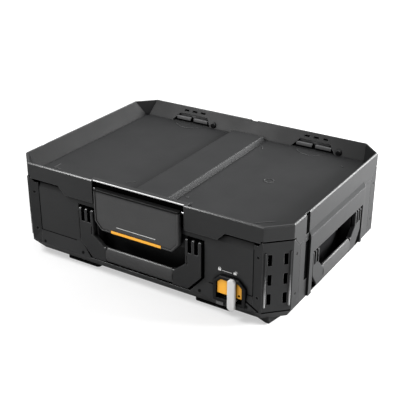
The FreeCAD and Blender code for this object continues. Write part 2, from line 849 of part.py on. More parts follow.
lock_face = panel_plane - LOCK_PROUD
lock_top = on_wall(LOCK_TOP_SHARE)
lock_bottom = on_wall(LOCK_BOTTOM_SHARE)
window_half = LOCK_HALF - LOCK_RING
window_top = lock_top - LOCK_RING
window_bottom = lock_bottom + LOCK_SILL
slot_bottom = window_bottom + LOCK_SLOT_LIFT
slot_top = slot_bottom + LOCK_SLOT_HEIGHT
lever_x = lock_centre + LEVER_OFFSET
carriage_front = inner_front + CARRIAGE_GAP
carriage_back = carriage_front + CARRIAGE_THICK
chamber_back = carriage_back + CARRIAGE_GAP
slot_left = lever_x - LEVER_HALF - LOCK_TRAVEL
slot_right = lock_centre + window_half
chamber_left = lever_x - CARRIAGE_HALF - LOCK_TRAVEL - CARRIAGE_GAP
chamber_right = slot_right + LOCK_HOUSING_WALL
chamber_low = slot_bottom - CARRIAGE_OVERLAP - CARRIAGE_GAP
chamber_high = slot_top + CARRIAGE_OVERLAP + CARRIAGE_GAP


def lock_seat():
    """The part of the front wall that the lock's frame fills."""
    outline = lock_outline(LOCK_HALF, lock_top, lock_bottom, LOCK_CORNER)
    return front_prism(outline, -half_depth - CUT_OVERRUN, panel_plane)


def lock_slot():
    return block(
        slot_left,
        slot_right,
        panel_plane - CUT_OVERRUN,
        inner_front + CUT_OVERRUN,
        slot_bottom,
        slot_top,
    )


def lock_chamber():
    return block(
        chamber_left,
        chamber_right,
        inner_front,
        chamber_back + LOCK_COVER_THICK,
        chamber_low,
        chamber_high,
    )


def lock_housing():
    return block(
        chamber_left - LOCK_HOUSING_WALL,
        chamber_right + LOCK_HOUSING_WALL,
        inner_front,
        chamber_back + LOCK_COVER_THICK,
        cavity_floor,
        chamber_high + LOCK_HOUSING_WALL,
    )


def make_lock_frame():
    frame = front_prism(lock_outline(LOCK_HALF, lock_top, lock_bottom, LOCK_CORNER), lock_face, panel_plane)
    frame = softened(frame, LEVER_EDGE, "Y", lock_face)
    window = lock_outline(window_half, window_top, window_bottom, LOCK_CORNER - LOCK_RING)
    return frame.cut(front_prism(window, lock_face - CUT_OVERRUN, panel_plane + CUT_OVERRUN))


def make_lock_plate():
    half = window_half - LOCK_PLATE_GAP
    top = window_top - LOCK_PLATE_GAP
    bottom = slot_top + LOCK_PLATE_LIFT
    corner = LOCK_CORNER - LOCK_RING
    face = panel_plane - LOCK_PLATE_THICK
    plate = front_prism(lock_outline(half, top, bottom, corner), face, panel_plane)
    plate = softened(plate, LEVER_EDGE, "Y", face)
    hole_x = lock_centre + half - LOCK_PLATE_HOLE_INSET
    hole_z = bottom + LOCK_PLATE_HOLE_INSET
    hole_back = panel_plane + CUT_OVERRUN
    return plate.cut(rod_y(LOCK_PLATE_HOLE_RADIUS, face - CUT_OVERRUN, hole_back, hole_x, hole_z))


def make_lock_lever():
    """Upright bar in front of the frame, with a neck through the slot."""
    top = on_wall(LEVER_TOP_SHARE)
    bottom = on_wall(LEVER_BOTTOM_SHARE)
    back = lock_face - LEVER_GAP
    outline = [
        (lever_x - LEVER_HALF + LEVER_TIP, bottom),
        (lever_x + LEVER_HALF - LEVER_TIP, bottom),
        (lever_x + LEVER_HALF, bottom + LEVER_TIP),
        (lever_x + LEVER_HALF, top - LEVER_TIP),
        (lever_x + LEVER_HALF - LEVER_TIP, top),
        (lever_x - LEVER_HALF + LEVER_TIP, top),
        (lever_x - LEVER_HALF, top - LEVER_TIP),
        (lever_x - LEVER_HALF, bottom + LEVER_TIP),
    ]
    bar = softened(front_prism(outline, back - LEVER_THICK, back), LEVER_EDGE, "Y", back - LEVER_THICK)
    neck = block(
        lever_x - LEVER_HALF + NECK_GAP,
        lever_x + LEVER_HALF - NECK_GAP,
        back - LEVER_THICK / 2,
        carriage_back,
        slot_bottom + NECK_GAP,
        slot_top - NECK_GAP,
    )
    return joined(bar, [neck])


def make_lock_carriage(lever):
    plate = block(
        lever_x - CARRIAGE_HALF,
        lever_x + CARRIAGE_HALF,
        carriage_front,
        carriage_back,
        slot_bottom - CARRIAGE_OVERLAP,
        slot_top + CARRIAGE_OVERLAP,
    )
    return plate.cut(lever)


def make_lock_cover():
    return block(
        chamber_left,
        chamber_right,
        chamber_back,
        chamber_back + LOCK_COVER_THICK,
        chamber_low,
        chamber_high,
    )


# Rear hinges

hinge_half = KNUCKLE_LENGTH / 2
lug_start = hinge_half + KNUCKLE_GAP
lug_end = lug_start + KNUCKLE_LENGTH


def hinge_spans():
    """The lengths along x that the base's hinge lugs take."""
    spans = []
    for side in (-HINGE_CENTRE, HINGE_CENTRE):
        spans.append((side - lug_end, side - lug_start))
        spans.append((side + lug_start, side + lug_end))
    return spans


def hinge_lugs():
    """Upright lugs on the base's rear wall, round at the pin."""
    lugs = []
    for low, high in hinge_spans():
        lug = rod_x(KNUCKLE_RADIUS, low, high, hinge_y, hinge_z)
        stem = block(
            low, high, half_depth - FRONT_RECESS, hinge_y + KNUCKLE_RADIUS, hinge_z - LUG_DROP, hinge_z
        )
        lugs.append(lug.fuse(stem))
    return lugs


def hinge_bores():
    radius = HINGE_PIN_RADIUS + RUNNING_CLEARANCE
    return [
        rod_x(radius, side - lug_end - CUT_OVERRUN, side + lug_end + CUT_OVERRUN, hinge_y, hinge_z)
        for side in (-HINGE_CENTRE, HINGE_CENTRE)
    ]


def hinge_knuckles():
    """The lid's middle knuckle of each hinge, with its web to the skirt."""
    knuckles = []
    for side in (-HINGE_CENTRE, HINGE_CENTRE):
        barrel = rod_x(KNUCKLE_RADIUS, side - hinge_half, side + hinge_half, hinge_y, hinge_z)
        web = block(
            side - hinge_half,
            side + hinge_half,
            half_depth - LID_WALL,
            hinge_y,
            hinge_z - KNUCKLE_RADIUS,
            hinge_z + KNUCKLE_RADIUS,
        )
        knuckles.append(barrel.fuse(web))
    return knuckles


def hinge_lid_slots():
    """Room in the lid's rear skirt for the base's lugs."""
    return [
        block(
            low - LID_SLOT_CLEARANCE,
            high + LID_SLOT_CLEARANCE,
            half_depth - LID_SLOT_DEPTH,
            half_depth + CUT_OVERRUN,
            seam - CUT_OVERRUN,
            hinge_z + LID_SLOT_RISE,
        )
        for low, high in hinge_spans()
    ]


# Feet


foot_outer = half_length - FOOT_END_INSET
foot_inner = foot_outer - FOOT_LENGTH


def foot_screw_places():
    middle = (foot_inner + foot_outer) / 2
    y = FOOT_SETBACK + FOOT_DEPTH / 2 - half_depth
    return [(middle - FOOT_SCREW_SPACING / 2, y), (middle + FOOT_SCREW_SPACING / 2, y)]


def foot_screws(clearance):
    """The two screws of the front right foot, or the holes for them."""
    screws = []
    for x, y in foot_screw_places():
        head_top = FOOT_SCREW_SINK + FOOT_SCREW_HEAD_HEIGHT + clearance
        head = rod_z(FOOT_SCREW_HEAD_RADIUS + clearance, FOOT_SCREW_SINK, head_top, x, y)
        shank_top = FOOT_HEIGHT + FOOT_SCREW_GRIP + clearance
        screws.append(head.fuse(rod_z(FOOT_SCREW_SHANK_RADIUS + clearance, head_top, shank_top, x, y)))
    return screws


def make_foot():
    """Front right foot: a bar with rounded ends and a groove along its front."""
    front = FOOT_SETBACK - half_depth
    bar = block(foot_inner, foot_outer, front, front + FOOT_DEPTH, 0, FOOT_HEIGHT)
    upright = [edge for edge in bar.Edges if not lies_on(edge, "Z", edge.Vertexes[0].Z)]
    bar = bar.makeFillet(FOOT_ROUND, upright)
    groove_low = (FOOT_HEIGHT - FOOT_GROOVE_HEIGHT) / 2
    bar = bar.cut(
        block(
            foot_inner + FOOT_GROOVE_END,
            foot_outer - FOOT_GROOVE_END,
            front - CUT_OVERRUN,
            front + FOOT_GROOVE_DEPTH,
            groove_low,
            groove_low + FOOT_GROOVE_HEIGHT,
        )
    )
    for x, y in foot_screw_places():
        bar = bar.cut(rod_z(FOOT_SCREW_HEAD_RADIUS + SCREW_CLEARANCE, -CUT_OVERRUN, FOOT_SCREW_SINK, x, y))
    return bar.cut(foot_screws(SCREW_CLEARANCE))


# Lid

latch_hole_half = LATCH_HALF + LATCH_RECESS_GAP
saddle_half = latch_hole_half + RIM_WIDTH
slope_run = TRAY_SLOPE_INSET - RIM_WIDTH


def tray_cut():
    """The sunken tray, carried on past the rim along its sloping walls."""
    floor = chamfered_plan(
        TRAY_SLOPE_INSET - half_length,
        half_length - TRAY_SLOPE_INSET,
        TRAY_SLOPE_INSET - half_depth,
        half_depth - TRAY_SLOPE_INSET,
        TRAY_FLOOR_CHAMFER,
    )
    mouth = inset_plan(RIM_WIDTH)
    overrun_share = 1 + CUT_OVERRUN / TRAY_DEPTH
    beyond = [
        (low_x + (x - low_x) * overrun_share, low_y + (y - low_y) * overrun_share)
        for (x, y), (low_x, low_y) in zip(mouth, floor)
    ]
    return ruled(at_height(floor, tray_level), at_height(beyond, BOX_HEIGHT + CUT_OVERRUN))


def latch_saddle():
    """Wall that carries the rim back round the latch's recess."""
    rim_back = latch_recess_back + RIM_WIDTH
    profile = [
        (RIM_WIDTH - half_depth, tray_underside),
        (rim_back + slope_run, tray_underside),
        (rim_back + slope_run, tray_level),
        (rim_back, BOX_HEIGHT),
        (RIM_WIDTH - half_depth, BOX_HEIGHT),
    ]
    return side_prism(profile, -saddle_half, saddle_half)


def latch_backing():
    """Inner wall behind the latch's recess, below the tray."""
    return block(
        -saddle_half,
        saddle_half,
        LID_WALL - half_depth,
        latch_recess_back + LATCH_BACKING,
        lid_foot,
        tray_level,
    )


def latch_recess():
    """Room for the latch, under a lip that carries the rim on above it."""
    front = -half_depth - CUT_OVERRUN
    low = lid_foot - CUT_OVERRUN
    lip_low = from_rim(LATCH_LIP_THICK)
    deep = block(-latch_hole_half, latch_hole_half, front, latch_recess_back, low, lip_low)
    lip_front = LATCH_LIP_SETBACK - half_depth
    return deep.fuse(
        block(-latch_hole_half, latch_hole_half, front, lip_front, low, BOX_HEIGHT + CUT_OVERRUN)
    )


def centre_bar():
    outline = [
        (-BAR_FOOT_HALF, tray_level),
        (BAR_FOOT_HALF, tray_level),
        (BAR_TOP_HALF, tray_level + BAR_HEIGHT),
        (-BAR_TOP_HALF, tray_level + BAR_HEIGHT),
    ]
    reach = half_depth - TRAY_SLOPE_INSET - BAR_END_GAP
    bar = front_prism(outline, -reach, reach)
    return softened(bar, BAR_EDGE, "Z", tray_level + BAR_HEIGHT)


def panel_lip():
    """Slope at the foot of the lid's side that meets the proud panel below."""
    inner = half_length - LID_WALL / 2
    profile = [
        (inner, lid_foot),
        (side_plane, lid_foot),
        (half_length, lid_foot + PANEL_LIP_RISE),
        (inner, lid_foot + PANEL_LIP_RISE),
    ]
    return front_prism(profile, -PANEL_FRONT_REACH, PANEL_REAR_REACH)


def rear_slope(z):
    """Place of the tray's rear wall at one height."""
    return half_depth - RIM_WIDTH - slope_run * (BOX_HEIGHT - z) / TRAY_DEPTH


window_floor = tray_level + WINDOW_LIFT
window_back = half_depth - WINDOW_BACK_INSET


def window_outline(margin):
    foot = WINDOW_FOOT_WIDTH / 2 - margin
    top = WINDOW_TOP_WIDTH / 2 - margin
    low = window_floor + margin
    high = window_floor + WINDOW_HEIGHT - margin
    return [
        (WINDOW_CENTRE - foot, low),
        (WINDOW_CENTRE + foot, low),
        (WINDOW_CENTRE + top, high),
        (WINDOW_CENTRE - top, high),
    ]


def rear_window():
    return front_prism(window_outline(0), half_depth - TRAY_SLOPE_INSET - CUT_OVERRUN, window_back)


def rear_vents(centre):
    middle = from_rim(VENT_DROP)
    y = rear_slope(middle)
    return [
        block(
            centre + step - VENT_WIDTH / 2,
            centre + step + VENT_WIDTH / 2,
            y - VENT_DEPTH,
            y + VENT_DEPTH,
            middle - VENT_HEIGHT / 2,
            middle + VENT_HEIGHT / 2,
        )
        for step in (-VENT_SPACING, 0, VENT_SPACING)
    ]


def rear_boss(centre):
    z = tray_level + BOSS_LIFT
    y = rear_slope(z)
    return rod_y(BOSS_RADIUS, y - BOSS_REACH, y + BOSS_RADIUS, centre + BOSS_OFFSET, z)


def make_receiver():
    """Insert of the right rear window: a plate with two bars side by side."""
    face = window_back - RECEIVER_PLATE
    plate = front_prism(window_outline(RECEIVER_CLEARANCE), face, window_back)
    low = window_floor + RECEIVER_BAR_LIFT
    bars = []
    for step in (-RECEIVER_BAR_SPACING / 2, RECEIVER_BAR_SPACING / 2):
        centre = WINDOW_CENTRE + step
        bars.append(
            block(
                centre - RECEIVER_BAR_WIDTH / 2,
                centre + RECEIVER_BAR_WIDTH / 2,
                face - RECEIVER_BAR_DEPTH,
                face,
                low,
                low + RECEIVER_BAR_HEIGHT,
            )
        )
    return joined(plate, bars)


gasket_low = seam + GASKET_GAP
gasket_high = gasket_low + GASKET_HEIGHT
latch_pin_half = latch_hole_half + LATCH_PIN_SEAT


def make_lid():
    lid = plan_prism(inset_plan(0), lid_foot, BOX_HEIGHT)
    lid = softened(lid, RIM_EDGE, "Z", BOX_HEIGHT).cut(tray_cut())
    lid = lid.cut(plan_prism(inset_plan(LID_WALL), seam, tray_underside))
    rib_inset = GASKET_INSET + (GASKET_WIDTH - RIB_WIDTH) / 2
    rib = ring(rib_inset, rib_inset + RIB_WIDTH, gasket_high, tray_level)
    lid = lid.fuse([latch_saddle(), latch_backing(), rib, centre_bar(), panel_lip(), flip_x(panel_lip())])
    pin_bore = LATCH_PIN_RADIUS + RUNNING_CLEARANCE
    pin_hole = rod_x(pin_bore, -latch_pin_half, latch_pin_half, latch_axis_y, latch_axis_z)
    cuts = [latch_recess(), shoulder_notches(), pin_hole]
    groove_low = from_rim(GROOVE_LID_DROP)
    cuts += both_sides(front_groove(LID_GROOVE_DEPTH, groove_low, BOX_HEIGHT + CUT_OVERRUN))
    cuts += both_sides(rear_window())
    for side in (-WINDOW_CENTRE, WINDOW_CENTRE):
        cuts += rear_vents(side)
    cuts.append(
        block(
            -RIM_NOTCH_WIDTH / 2,
            RIM_NOTCH_WIDTH / 2,
            half_depth - RIM_WIDTH - CUT_OVERRUN,
            half_depth + CUT_OVERRUN,
            BOX_HEIGHT - RIM_NOTCH_DEPTH,
            BOX_HEIGHT + CUT_OVERRUN,
        )
    )
    lid = lid.cut(cuts + hinge_lid_slots())
    bosses = [rear_boss(side) for side in (-WINDOW_CENTRE, WINDOW_CENTRE)]
    return joined(lid, hinge_knuckles() + bosses).cut(hinge_bores())


# Front latch

latch_top = from_rim(LATCH_TOP_DROP)
latch_bottom = on_wall(LATCH_BOTTOM_SHARE)


def latch_outline(margin):
    half = LATCH_HALF - margin
    corner_width = LATCH_CORNER_WIDTH - margin / 2
    corner_height = LATCH_CORNER_HEIGHT - margin / 2
    return [
        (-half, latch_top - margin),
        (half, latch_top - margin),
        (half, latch_bottom + margin + corner_height),
        (half - corner_width, latch_bottom + margin),
        (corner_width - half, latch_bottom + margin),
        (-half, latch_bottom + margin + corner_height),
    ]


def make_accent_strip():
    low = latch_bottom + LATCH_EDGE / 2
    back = latch_face + LATCH_FACE_SINK + INLAY_SINK
    return block(-STRIP_HALF, STRIP_HALF, latch_face, back, low, low + STRIP_HEIGHT)


def make_accent_line():
    low = latch_bottom + LINE_LIFT
    face = latch_face + LATCH_FACE_SINK
    return block(-LINE_HALF, LINE_HALF, face - INLAY_PROUD, face + INLAY_SINK, low, low + LINE_HEIGHT)


def make_latch(inlays):
    plate = front_prism(latch_outline(0), latch_face, latch_back)
    plate = softened(plate, LATCH_EDGE, "Y", latch_face)
    sunk = front_prism(latch_outline(LATCH_BORDER), latch_face - CUT_OVERRUN, latch_face + LATCH_FACE_SINK)
    barrel = rod_x(LATCH_BARREL_RADIUS, -LATCH_HALF, LATCH_HALF, latch_axis_y, latch_axis_z)
    catch_top = on_wall(LATCH_CATCH_SHARE)
    catch = block(
        -LATCH_CATCH_HALF,
        LATCH_CATCH_HALF,
        latch_back - LATCH_CATCH_REACH,
        latch_back + LATCH_CATCH_REACH,
        catch_top - LATCH_CATCH_HEIGHT,
        catch_top,
    )
    plate = joined(plate.cut(sunk), [barrel, catch])
    pin_bore = LATCH_PIN_RADIUS + RUNNING_CLEARANCE
    bore = rod_x(pin_bore, -LATCH_HALF - CUT_OVERRUN, LATCH_HALF + CUT_OVERRUN, latch_axis_y, latch_axis_z)
    return plate.cut([bore] + inlays)


# Base assembly


def bevel_plan():
    """Outline of the underside; the front right corner, over the toe, is cut less than the others."""
    outline = chamfered_plan(
        BEVEL_INSET - half_length,
        half_length - BEVEL_INSET,
        BEVEL_INSET - half_depth,
        half_depth - BEVEL_INSET,
        BEVEL_CORNER,
    )
    outline[1:3] = inset_plan(BEVEL_INSET)[1:3]
    return outline


def make_base():
    base = plan_prism(inset_plan(0), wall_foot, seam)
    bevel = ruled(at_height(bevel_plan(), FOOT_HEIGHT), at_height(inset_plan(0), wall_foot))
    base = base.fuse([bevel, shoulders()])
    cavity = chamfered_plan(
        SIDE_WALL - half_length,
        half_length - SIDE_WALL,
        FRONT_WALL - half_depth,
        half_depth - FRONT_WALL,
        CAVITY_CHAMFER,
    )
    base = base.cut(plan_prism(cavity, cavity_floor, seam))
    flange = ring(SIDE_WALL / 2, RIM_FLANGE_WIDTH, seam - RIM_FLANGE_THICK, seam)
    base = base.fuse(flange)
    recess = ruled(recess_section(-CUT_OVERRUN), recess_section(FRONT_RECESS))
    base = base.cut([recess, flip_y(recess)])
    base = joined(base, [lock_housing()] + hinge_lugs() + both_sides(side_panel()))
    cuts = [handle_room(), handle_hollow(), lock_seat(), lock_slot(), lock_chamber()]
    cuts += both_sides(front_bracket_plate()) + both_sides(shoulder_ledge()) + hinge_bores()
    cuts += both_sides(side_seat(side_plate_back, side_plane + CUT_OVERRUN))
    groove_low = on_wall(GROOVE_FRONT_END_SHARE)
    cuts += both_sides(front_groove(GROOVE_DEPTH, groove_low, on_wall(GROOVE_FRONT_TOP_SHARE)))
    rear_end = PANEL_REAR_REACH + REAR_GROOVE_WIDTH
    rear_top = on_wall(GROOVE_REAR_TOP_SHARE)
    cuts += both_sides(groove(PANEL_REAR_REACH, rear_end, GROOVE_DEPTH, wall_foot, rear_top))
    return base.cut(cuts)


base = make_base()
region = guard_region(0)
guard_body = guard_region(GUARD_SEAM)
slots = guard_slots(guard_depth + CUT_OVERRUN)
ribs = guard_ribs()
guard = joined(base.common(guard_body).cut(slots), ribs)
rear_guard = base.common(flip_y(guard_body)).cut([flip_y(slot) for slot in slots])
rear_guard = joined(rear_guard, [flip_y(rib) for rib in ribs])
guards = {
    "front_right": guard,
    "front_left": flip_x(guard),
    "rear_right": rear_guard,
    "rear_left": flip_x(rear_guard),
}
screw_holes = corner_screws(SCREW_CLEARANCE)
hole_sets = all_corners(Part.makeCompound(screw_holes))
base_cuts = list(all_corners(region).values()) + list(hole_sets.values())
for slot in guard_slots(guard_depth + GUARD_SLOT_POCKET):
    base_cuts += all_corners(slot).values()
base_cuts += all_corners(Part.makeCompound(foot_screws(SCREW_CLEARANCE))).values()
save("base_tub", base.cut(base_cuts))
save("front_handle_cup", front_cup())
save("front_handle_bracket_right", front_bracket())
save("front_handle_bracket_left", flip_x(front_bracket()))
save("right_handle_cup", side_cup())
save("left_handle_cup", flip_x(side_cup()))
save("corner_toe", corner_toe())
for corner, shape in guards.items():
    save("corner_guard_" + corner, shape.cut(hole_sets[corner]))
save("guard_screws", in_all_corners(corner_screws(0)))
for corner, shape in all_corners(make_foot()).items():
    save("foot_" + corner, shape)
save("foot_screws", in_all_corners(foot_screws(0)))

for side, name in ((-HINGE_CENTRE, "left"), (HINGE_CENTRE, "right")):
    save("hinge_pin_" + name, rod_x(HINGE_PIN_RADIUS, side - lug_end, side + lug_end, hinge_y, hinge_z))

lever = make_lock_lever()
save("lock_frame", make_lock_frame())
save("lock_plate", make_lock_plate())
save("lock_lever", lever)
save("lock_carriage", make_lock_carriage(lever))
save("lock_cover", make_lock_cover())

save("front_handle", in_front(front_handle["bail"]))
save("front_handle_grip", in_front(front_handle["grip"]))
save("front_handle_pin_right", in_front(front_handle["pin_right"]))
save("front_handle_pin_left", in_front(front_handle["pin_left"]))
for name, place in (("right", on_right), ("left", lambda shape: flip_x(on_right(shape)))):
    save(name + "_handle", place(side_handle["bail"]))
    save(name + "_handle_grip", place(side_handle["grip"]))
    save(name + "_handle_pin_rear", place(side_handle["pin_right"]))
    save(name + "_handle_pin_front", place(side_handle["pin_left"]))

save("lid_shell", make_lid())
save("lid_gasket", ring(GASKET_INSET, GASKET_INSET + GASKET_WIDTH, gasket_low, gasket_high))
save("rear_receiver_right", make_receiver())
save("rear_receiver_left", flip_x(make_receiver()))
strip = make_accent_strip()
line = make_accent_line()
save("latch_pin", rod_x(LATCH_PIN_RADIUS, -latch_pin_half, latch_pin_half, latch_axis_y, latch_axis_z))
save("front_latch", make_latch([strip, line]))
save("latch_accent_strip", strip)
save("latch_accent_line", line)
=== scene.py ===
import json
import math
import bpy
import bmesh
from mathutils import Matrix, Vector


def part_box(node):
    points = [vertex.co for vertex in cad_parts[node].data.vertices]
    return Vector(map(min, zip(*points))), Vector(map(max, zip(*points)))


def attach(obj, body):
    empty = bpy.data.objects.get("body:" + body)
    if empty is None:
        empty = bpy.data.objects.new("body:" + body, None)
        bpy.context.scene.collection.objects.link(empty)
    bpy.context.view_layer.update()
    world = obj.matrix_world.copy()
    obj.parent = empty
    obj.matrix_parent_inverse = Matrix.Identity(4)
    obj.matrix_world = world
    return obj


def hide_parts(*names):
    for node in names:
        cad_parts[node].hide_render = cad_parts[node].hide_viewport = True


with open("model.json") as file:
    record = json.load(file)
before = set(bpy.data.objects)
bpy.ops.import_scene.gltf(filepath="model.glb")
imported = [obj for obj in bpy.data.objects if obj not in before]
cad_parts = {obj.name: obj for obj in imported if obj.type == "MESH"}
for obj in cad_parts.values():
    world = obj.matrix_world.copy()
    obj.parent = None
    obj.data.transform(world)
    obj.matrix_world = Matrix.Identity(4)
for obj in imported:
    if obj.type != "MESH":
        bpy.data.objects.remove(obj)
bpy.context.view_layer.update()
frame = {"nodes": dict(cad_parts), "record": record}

# Lengths on the part are in millimetres; the floor, and the places of lamps and camera, in metres
MM = 0.001
X, Y, Z = (1, 0, 0), (0, 1, 0), (0, 0, 1)
FLIPS = (1, -1)
SIDES = (("right", 1), ("left", -1))
ENDS = (("front", 1), ("rear", -1))


# Shader helpers
def colour(r, g, b):
    return (r, g, b, 1.0)


BLACK = colour(0.0, 0.0, 0.0)
WHITE = colour(1.0, 1.0, 1.0)


def new_material(name):
    material = bpy.data.materials.new(name)
    material.use_nodes = True
    tree = material.node_tree
    shader = tree.nodes["Principled BSDF"]
    return material, tree, shader


def noise(tree, place, scale, detail, roughness):
    """Noise on the object's own coordinates."""
    node = tree.nodes.new("ShaderNodeTexNoise")
    node.inputs["Scale"].default_value = scale
    node.inputs["Detail"].default_value = detail
    node.inputs["Roughness"].default_value = roughness
    tree.links.new(place.outputs["Object"], node.inputs["Vector"])
    return node.outputs["Fac"]


def ramp(tree, source, low, high, first, second):
    """Colour from first to second between two values of the source."""
    node = tree.nodes.new("ShaderNodeValToRGB")
    node.color_ramp.elements[0].position = low
    node.color_ramp.elements[0].color = first
    node.color_ramp.elements[1].position = high
    node.color_ramp.elements[1].color = second
    tree.links.new(source, node.inputs["Fac"])
    return node.outputs["Color"]


def spread(tree, source, low, high, first, second):
    """Number from first to second between two values of the source."""
    node = tree.nodes.new("ShaderNodeMapRange")
    node.inputs["From Min"].default_value = low
    node.inputs["From Max"].default_value = high
    node.inputs["To Min"].default_value = first
    node.inputs["To Max"].default_value = second
    tree.links.new(source, node.inputs["Value"])
    return node.outputs["Result"]


def number(tree, operation, first, second):
    """Result of a named operation on two numbers; the second may be a plain constant."""
    node = tree.nodes.new("ShaderNodeMath")
    node.operation = operation
    tree.links.new(first, node.inputs[0])
    if isinstance(second, float):
        node.inputs[1].default_value = second
    else:
        tree.links.new(second, node.inputs[1])
    return node.outputs["Value"]


def blend(tree, share, first, second):
    """Colour from first to second by a share; either colour may be a plain constant."""
    node = tree.nodes.new("ShaderNodeMix")
    node.data_type = "RGBA"
    tree.links.new(share, node.inputs["Factor"])
    for end, value in (("A", first), ("B", second)):
        if isinstance(value, tuple):
            node.inputs[end].default_value = value
        else:
            tree.links.new(value, node.inputs[end])
    return node.outputs["Result"]


def axes(tree, vector):
    """The three parts of a vector."""
    node = tree.nodes.new("ShaderNodeSeparateXYZ")
    tree.links.new(vector, node.inputs["Vector"])
    return node.outputs


# What all moulded looks share
MOTTLE = {"scale": 14.0, "detail": 5.0, "roughness": 0.62}
GRAIN = {"detail": 2.0, "roughness": 0.5}
GRAIN_HEIGHT = 0.15
NOISE_BAND = (0.3, 0.7)
ROUGH_BELOW, ROUGH_ABOVE = 0.04, 0.05
COAT_ROUGHNESS = 0.16
SHADER_SAMPLES = 16

# Painted shade in crevices: colour, shine and coat dimmed by how open a place is to the space around it
NOOK_REACH = 11.0
NOOK_BAND = (0.42, 0.95)
CREVICE_PAINTED_SHADE_SHARE = 0.04
NOOK_SHINE_SHARE = 0.03

# Painted highlights on outer edges: lighter colour where the softened normal leaves the face and the place
# is open
EDGE_HIGHLIGHT_BAND = (0.985, 0.86)
CONVEX_BAND = (0.88, 0.97)

# The lid's sunken tray and the centre bar in it; painted shade darkens the tray's upright walls
TRAY_LOW, TRAY_HIGH = 155.5, 184.4
TRAY_HALF_X, TRAY_HALF_Y = 274.6, 204.2
TRAY_CORNER = 448.5
BAR_HALF_X, BAR_HALF_Y = 60.0, 176.0
UPRIGHT_BELOW = 0.8
WALL_PAINTED_SHADE_SHARE = 0.55
TRAY_SHINE_SHARE = 0.6
WALL_SHINE_SHARE = 0.6

# Painted shadow of the lid's rim on the latch's upper edge
LATCH_PAINTED_SHADOW_FROM = 169.4
PAINTED_SHADOW_FADE = 0.4
PAINTED_SHADOW_SHARE = 0.14


def tray_share(tree, place, half_x, half_y):
    """One inside the lid's sunken tray as far out as the half sizes, zero elsewhere."""
    parts = axes(tree, place.outputs["Object"])
    within = number(tree, "LESS_THAN", parts["Z"], TRAY_HIGH * MM)
    above = number(tree, "GREATER_THAN", parts["Z"], TRAY_LOW * MM)
    within = number(tree, "MULTIPLY", within, above)
    reach_x = number(tree, "ABSOLUTE", parts["X"], 0.0)
    reach_y = number(tree, "ABSOLUTE", parts["Y"], 0.0)
    both = number(tree, "ADD", reach_x, reach_y)
    for reach, most in ((reach_x, half_x), (reach_y, half_y), (both, TRAY_CORNER)):
        within = number(tree, "MULTIPLY", within, number(tree, "LESS_THAN", reach, most * MM))
    return within


def tray_masks(tree, place):
    """Shares of the whole tray, and of its upright walls without the centre bar."""
    tray = tray_share(tree, place, TRAY_HALF_X, TRAY_HALF_Y)
    bar = tray_share(tree, place, BAR_HALF_X, BAR_HALF_Y)
    facing = axes(tree, place.outputs["Normal"])
    upright = number(tree, "LESS_THAN", facing["Z"], UPRIGHT_BELOW)
    walls = number(tree, "MULTIPLY", number(tree, "SUBTRACT", tray, bar), upright)
    return tray, walls


def edge_highlight_share(tree, soft, nook):
    """One on outer edges, zero on flat faces and in crevices; the share for the painted edge highlight."""
    flat = tree.nodes.new("ShaderNodeNewGeometry")
    turn = tree.nodes.new("ShaderNodeVectorMath")
    turn.operation = "DOT_PRODUCT"
    tree.links.new(flat.outputs["Normal"], turn.inputs[0])
    tree.links.new(soft, turn.inputs[1])
    edge_light = spread(tree, turn.outputs["Value"], *EDGE_HIGHLIGHT_BAND, 0.0, 1.0)
    convex = spread(tree, nook, *CONVEX_BAND, 0.0, 1.0)
    return number(tree, "MULTIPLY", edge_light, convex)


